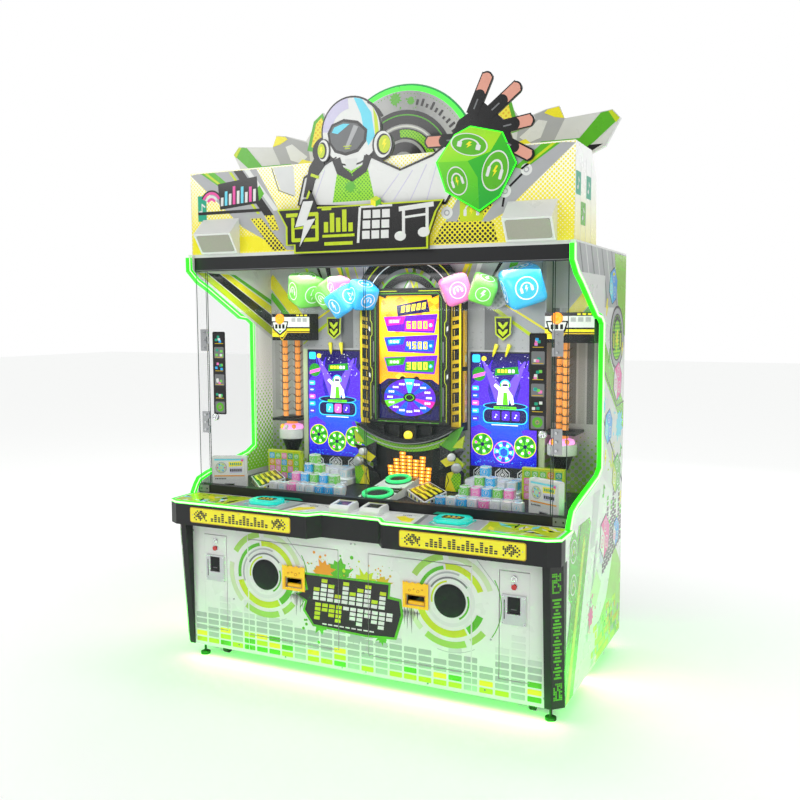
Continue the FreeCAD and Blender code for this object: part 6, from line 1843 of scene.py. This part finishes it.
def big_cubes():
    """Cubes that hang under the header."""
    spots = ((-560, 1800, 152, "cube_green", 24), (-430, 1782, 120, "cube_green", -30),
             (-352, 1812, 92, "cube_pink", 18),
             (-330, 1742, 128, "cube_blue", -22), (-236, 1770, 124, "cube_blue", 34),
             (262, 1790, 132, "cube_pink", -24), (400, 1788, 118, "cube_green", 20),
             (590, 1800, 176, "cube_blue", -20))
    for k, (x, z, size, look, spin) in enumerate(spots):
        turn = Matrix.Rotation(math.radians(spin), 4, "Y") @ Matrix.Rotation(math.radians(-28 if x < 0 else 26), 4,
                                                                             "Z") \
            @ Matrix.Rotation(math.radians(18), 4, "X")
        y = 60 if k not in (2, 3) else 30
        music_cube("header_cube_%d" % k, (x, y, z), size, turn, look, "white").build()


def islands_of(mesh):
    """Connected parts of a mesh, as lists of vertex numbers."""
    link = list(range(len(mesh.vertices)))

    def root(a):
        while link[a] != a:
            link[a] = link[link[a]]
            a = link[a]
        return a
    near = {}
    for v in mesh.vertices:
        key = tuple(round(c * 2e4) for c in v.co)
        if key in near:
            link[root(v.index)] = root(near[key])
        near[key] = v.index
    for e in mesh.edges:
        link[root(e.vertices[0])] = root(e.vertices[1])
    groups = {}
    for v in mesh.vertices:
        groups.setdefault(root(v.index), []).append(v.index)
    return list(groups.values())


CUBE = 0.045            # edge of a loose cube, and the table's top, metres
TABLE_Z = 0.815
SHOWN_CUBE = 45.6       # the rounded cube that is drawn over it, millimetres


def small_cubes():
    """A rounded, marked cube for every loose cube of the play field and the pushers."""
    draw = random.Random(4)
    for part, body in (("cubes", "cabinet"), ("pusher_left", "pusher_left"), ("pusher_right", "pusher_right")):
        mesh = frame["nodes"][part].data
        sheets = []
        for group in islands_of(mesh):
            pts = [mesh.vertices[i].co for i in group]
            lo = Vector([min(p[k] for p in pts) for k in range(3)])
            hi = Vector([max(p[k] for p in pts) for k in range(3)])
            if abs(hi.z - lo.z - CUBE) > 0.001:
                continue
            mid = (lo + hi) / 2
            angle = 0.0
            best = 9
            for step in range(-7, 8):
                t = math.radians(step)
                reach = max((p.x - mid.x) * math.cos(t) + (p.y - mid.y) * math.sin(t) for p in pts)
                if reach < best:
                    best, angle = reach, t
            level = round((lo.z - TABLE_Z) / CUBE)
            if body != "cabinet":
                look = draw.choice(("cube_white",) * 5 + ("cube_blue", "cube_pink"))
            elif level <= 0:
                look = draw.choice(("cube_white",) * 6 + ("cube_blue", "cube_pink", "cube_blue"))
            else:
                look = draw.choice(("cube_blue", "cube_pink", "cube_green", "cube_blue"))
            marks = "white" if look != "cube_white" else draw.choice(("cyan_print", "lilac", "mist", "cyan_print"))
            spin = Matrix.Rotation(angle, 4, "Z")
            sheets.append(music_cube("%s_cube_%d" % (part, len(sheets)), tuple(mid * 1000), SHOWN_CUBE, spin, look,
                                     marks, body))
        main = merged(sheets)
        main.name = part + "_marks"
        main.build()


def glass_details():
    """Stickers, edges and knobs of the glass doors, and the rails below and above them."""
    for side, s in (LEFT, RIGHT):
        body = "glass_door_" + side
        strip = Art("glass_sticker_" + side, body, (s * 796, GLASS_Y, 1393), FRONT, step=0.4)
        strip.rect(-37, 37, -200, 200, "black", 0, r=8)
        draw = random.Random(70 + s)
        for k in range(6):
            z = 165 - k * 66
            strip.rect(-28, 28, z - 27, z + 27, "steelgrey" if k % 2 else "board", 1, r=5)
            if k == 5:
                strip.ring(0, z, 11, 22, "green", 2)
                strip.ring(0, z, 6, 8, "lime", 2)
                continue
            for _ in range(5):
                x, y = draw.uniform(-18, 18), draw.uniform(-15, 15)
                look = draw.choice(("cube_pink", "cube_blue", "cube_green", "white", "teal"))
                strip.rect(x - 7, x + 7, z + y - 6, z + y + 6, look, 2, r=2)
            strip.line([(-22, z - 22), (22, z - 22)], 3, "gold", 2)
        strip.build()
        edges = Art("glass_edges_" + side, body, (0, GLASS_Y - 0.2, 0), FRONT, step=0.5)
        x0, x1 = sorted((s * 2.5, s * 5.5))
        edges.rect(x0, x1, 844, 1881, "edge", 0)
        x0, x1 = sorted((s * 853, s * 857.5))
        edges.rect(x0, x1, 844, 1881, "edge", 0)
        edges.build()
        lathe("knob_trim_" + side, [(17.5, 0), (17.5, 10), (15, 15.5), (9, 16.5), (8.5, 15), (0.5, 15)],
              (s * 820, GLASS_Y, 1179), (0, -1, 0), "chrome", body, 40)
        fixed = Art("fixed_edges_" + side, "cabinet", (0, GLASS_Y - 0.2, 0), FRONT, step=0.5)
        x0, x1 = sorted((s * 862.5, s * 866))
        fixed.rect(x0, x1, 843, 1882, "edge", 0)
        x0, x1 = sorted((s * 918, s * 922))
        fixed.rect(x0, x1, 843, 1882, "edge", 0)
        fixed.build()
        caps = Art("rail_caps_" + side, "cabinet", (s * 896, -374, 822), FRONT, step=0.5)
        caps.rect(-29, 29, -17, 18, "steelgrey", 0, r=2)
        for x in (-16, 16):
            caps.disc(x, 0, 4, "black", 1, sides=14)
        caps.build()
    rail = Art("rail_print", "cabinet", (0, -370, 0), FRONT, step=0.3)
    for s in (-1, 1):
        rail.poly(mirrored(s, [(330, 806), (520, 806), (500, 816), (350, 816)]), "teal", 0)
    rail.build()
    beam = Art("beam_lines", "cabinet", (0, GLASS_Y, 0), FRONT, step=0.3)
    beam.rect(-924, 924, 1886, 1889, "steelgrey", 0)
    beam.build()


def rear_fittings():
    """Frame, lock and screws of the rear, and screws of the hinge plates."""
    door = Art("rear_door_print", "rear_door", (0, REAR_Y, 0), BACK, step=0.5)
    for a, b, c, d in ((-340, 340, 172, 178), (-340, 340, 1382, 1388), (-340, -334, 178, 1382),
                       (334, 340, 178, 1382)):
        door.rect(a, b, c, d, "satin", thick=1.4)
    door.rect(290, 322, 760, 800, "zinc", thick=2.2, r=5)
    door.build()
    lathe("rear_lock", [(12, 0), (12, 4), (10.5, 5.6), (8, 6), (7.6, 5), (0.5, 5)], (-306, REAR_Y, 780), (0, 1, 0),
          "chrome", "rear_door", 32)
    panel = Art("rear_panel_print", "cabinet", (0, REAR_Y, 0), BACK, step=0.5)
    for x in (-900, -450, 0, 450, 900):
        for z in (110, 700, 1300, 1925):
            if abs(x) > 380 or z > 1450:
                panel.disc(x, z, 5, "steel", thick=2.2, sides=14)
                panel.rect(x - 3.4, x + 3.4, z - 0.6, z + 0.6, "black", thick=2.5)
    for z in (320, 1240):
        panel.rect(-378, -352, z - 40, z + 40, "zinc", thick=2.0, r=3)
    panel.build()
    plates = frame["nodes"]["hinge_plates"].data
    screws = Art("hinge_screws", "cabinet", (0, 0, 0), FRONT, step=0.5)
    for group in islands_of(plates):
        pts = [plates.vertices[i].co * 1000 for i in group]
        lo = [min(p[k] for p in pts) for k in range(3)]
        hi = [max(p[k] for p in pts) for k in range(3)]
        if hi[2] - lo[2] > 60 and hi[0] - lo[0] > 20:
            mid = (lo[0] + hi[0]) / 2
            screws.o = Vector((0, lo[1], 0)) / 1000
            for z in (lo[2] + 16, (lo[2] + hi[2]) / 2, hi[2] - 16):
                screws.disc(mid, z, 4.6, "chrome", thick=1.6, sides=16)
                screws.rect(mid - 3, mid + 3, z - 0.6, z + 0.6, "black", thick=1.8)
    screws.build()


def badges():
    """Shield badges over the side displays, with their spikes."""
    art = Art("badge_print", "cabinet", (0, 166, 0), FRONT, step=0.8)
    for s in (-1, 1):
        c = s * SCREEN_X
        art.poly([(c - 42, 1660), (c + 42, 1660), (c + 38, 1576), (c, 1546), (c - 38, 1576)], "lime", 0)
        art.poly([(c - 35, 1653), (c + 35, 1653), (c + 31, 1580), (c, 1555), (c - 31, 1580)], "black", 1)
        for z in (1634, 1600):
            art.poly([(c - 26, z), (c - 14, z), (c, z - 16), (c + 14, z), (c + 26, z), (c + 20, z - 16), (c, z - 36),
                      (c - 20, z - 16)], "lime", 2)
    art.build()
    for side, s in (LEFT, RIGHT):
        for k, x in enumerate((427, 491)):
            tip = Vector((-0.25 * s, -0.3, -1)).normalized()
            lathe("spike_%s_%d" % (side, k), [(11.6, 0), (12, 4), (8, 40), (3.4, 63), (0.6, 64)],
                  (s * x, 178, 1528), tuple(tip), "yellow", "cabinet", 6)


# ---------------------------------------------------------------- stage, lights and camera
def area(name, at, size, energy, color, look_at):
    light = bpy.data.lights.new(name, "AREA")
    light.shape = "RECTANGLE"
    light.size, light.size_y = size
    light.energy = energy
    light.color = color
    obj = linked(name, light)
    obj.location = at
    obj.rotation_euler = (Vector(look_at) - Vector(at)).to_track_quat("-Z", "Y").to_euler()


def floor():
    """Pale floor whose own light fades away from the object."""
    mesh = bpy.data.meshes.new("floor")
    mesh.from_pydata([(-30, -30, 0), (30, -30, 0), (30, 30, 0), (-30, 30, 0)], [], [[0, 1, 2, 3]])
    pale = plain("floor_pale", "f2f3f2", 0.6, var=0.01, bump=0.0, emit=0.36)
    tree = pale.node_tree
    near = placed(tree, (0.25, 0.25, 0.25))
    ring = node(tree, "TexGradient", {"Vector": near}, gradient_type="SPHERICAL")
    span = node(tree, "MapRange", {"Value": ring.outputs["Fac"], "From Max": 0.7, "To Min": 0.62, "To Max": 0.24})
    wire(tree, tree.nodes["Principled BSDF"], {"Emission Strength": span.outputs["Result"]})
    mesh.materials.append(pale)
    linked("floor", mesh)


def backdrop():
    """White to the camera, and dimmer as a light."""
    world = bpy.data.worlds.new("studio")
    bpy.context.scene.world = world
    world.use_nodes = True
    tree = world.node_tree
    dim = tree.nodes["Background"]
    wire(tree, dim, {0: (1, 1, 1, 1), 1: 0.42})
    shown = node(tree, "Background", {0: (1, 1, 1, 1), 1: 1.0})
    rays = node(tree, "LightPath", {})
    either = node(tree, "MixShader", {0: rays.outputs["Is Camera Ray"], 1: dim.outputs[0], 2: shown.outputs[0]})
    wire(tree, tree.nodes["World Output"], {0: either.outputs[0]})


def lights():
    """Soft studio lights, a glow inside, and green light from under the base."""
    white = (1, 1, 1)
    area("key", (-3.2, -5.0, 4.4), (3.0, 3.0), 88, white, (0, 0, 1.2))
    area("fill", (4.6, -3.4, 3.0), (3.0, 3.0), 44, white, (0, 0, 1.1))
    area("back", (0, 5.0, 3.6), (4, 3), 70, white, (0, 0, 1.2))
    area("top", (0, 0.2, 5.5), (4, 4), 50, white, (0, 0, 1))
    area("chamber", (0, -0.12, 1.87), (1.7, 0.34), 7, white, (0, -0.1, 0))
    for s in (-1, 1):
        area("chamber_%d" % s, (s * 0.45, -0.33, 1.72), (0.5, 0.1), 1.2, white, (s * 0.45, 0.2, 1.1))
    green = (0.06, 1.0, 0.03)
    area("glow_front", (0, -0.46, 0.076), (1.86, 0.06), 34, green, (0, -0.54, 0))
    area("glow_back", (0, 0.54, 0.076), (1.86, 0.06), 26, green, (0, 0.62, 0))
    for s in (-1, 1):
        area("glow_side_%d" % s, (s * 0.91, 0.05, 0.076), (0.06, 1.0), 26, green, (s * 0.99, 0.05, 0))


def camera():
    """Fitted view of the whole object."""
    cam = bpy.data.cameras.new("camera")
    cam.lens, cam.sensor_width = 40.702, 36
    cam.clip_end = 100
    obj = linked("camera", cam)
    obj.location = (1.8775, -3.9333, 1.6632)
    yaw = Matrix.Rotation(math.radians(25.555), 4, "Z")
    pitch = Matrix.Rotation(math.radians(90 - 5.284), 4, "X")
    roll = Matrix.Rotation(math.radians(-0.225), 4, "Z")
    obj.rotation_euler = (yaw @ pitch @ roll).to_euler()
    bpy.context.scene.camera = obj
    bpy.context.scene.view_settings.view_transform = "Standard"


lower_front()
fascia_and_posts()
strips()
deck_print()
sides()
marquee()
icon_strip()
figure()
topper()
for name, sign in (LEFT, RIGHT):
    side_screen(name, sign)
centre_display()
column_low()
islands()
racks_and_readers()
towers()
wall_and_header()
big_cubes()
small_cubes()
glass_details()
badges()
rear_fittings()
floor()
backdrop()
lights()
camera()
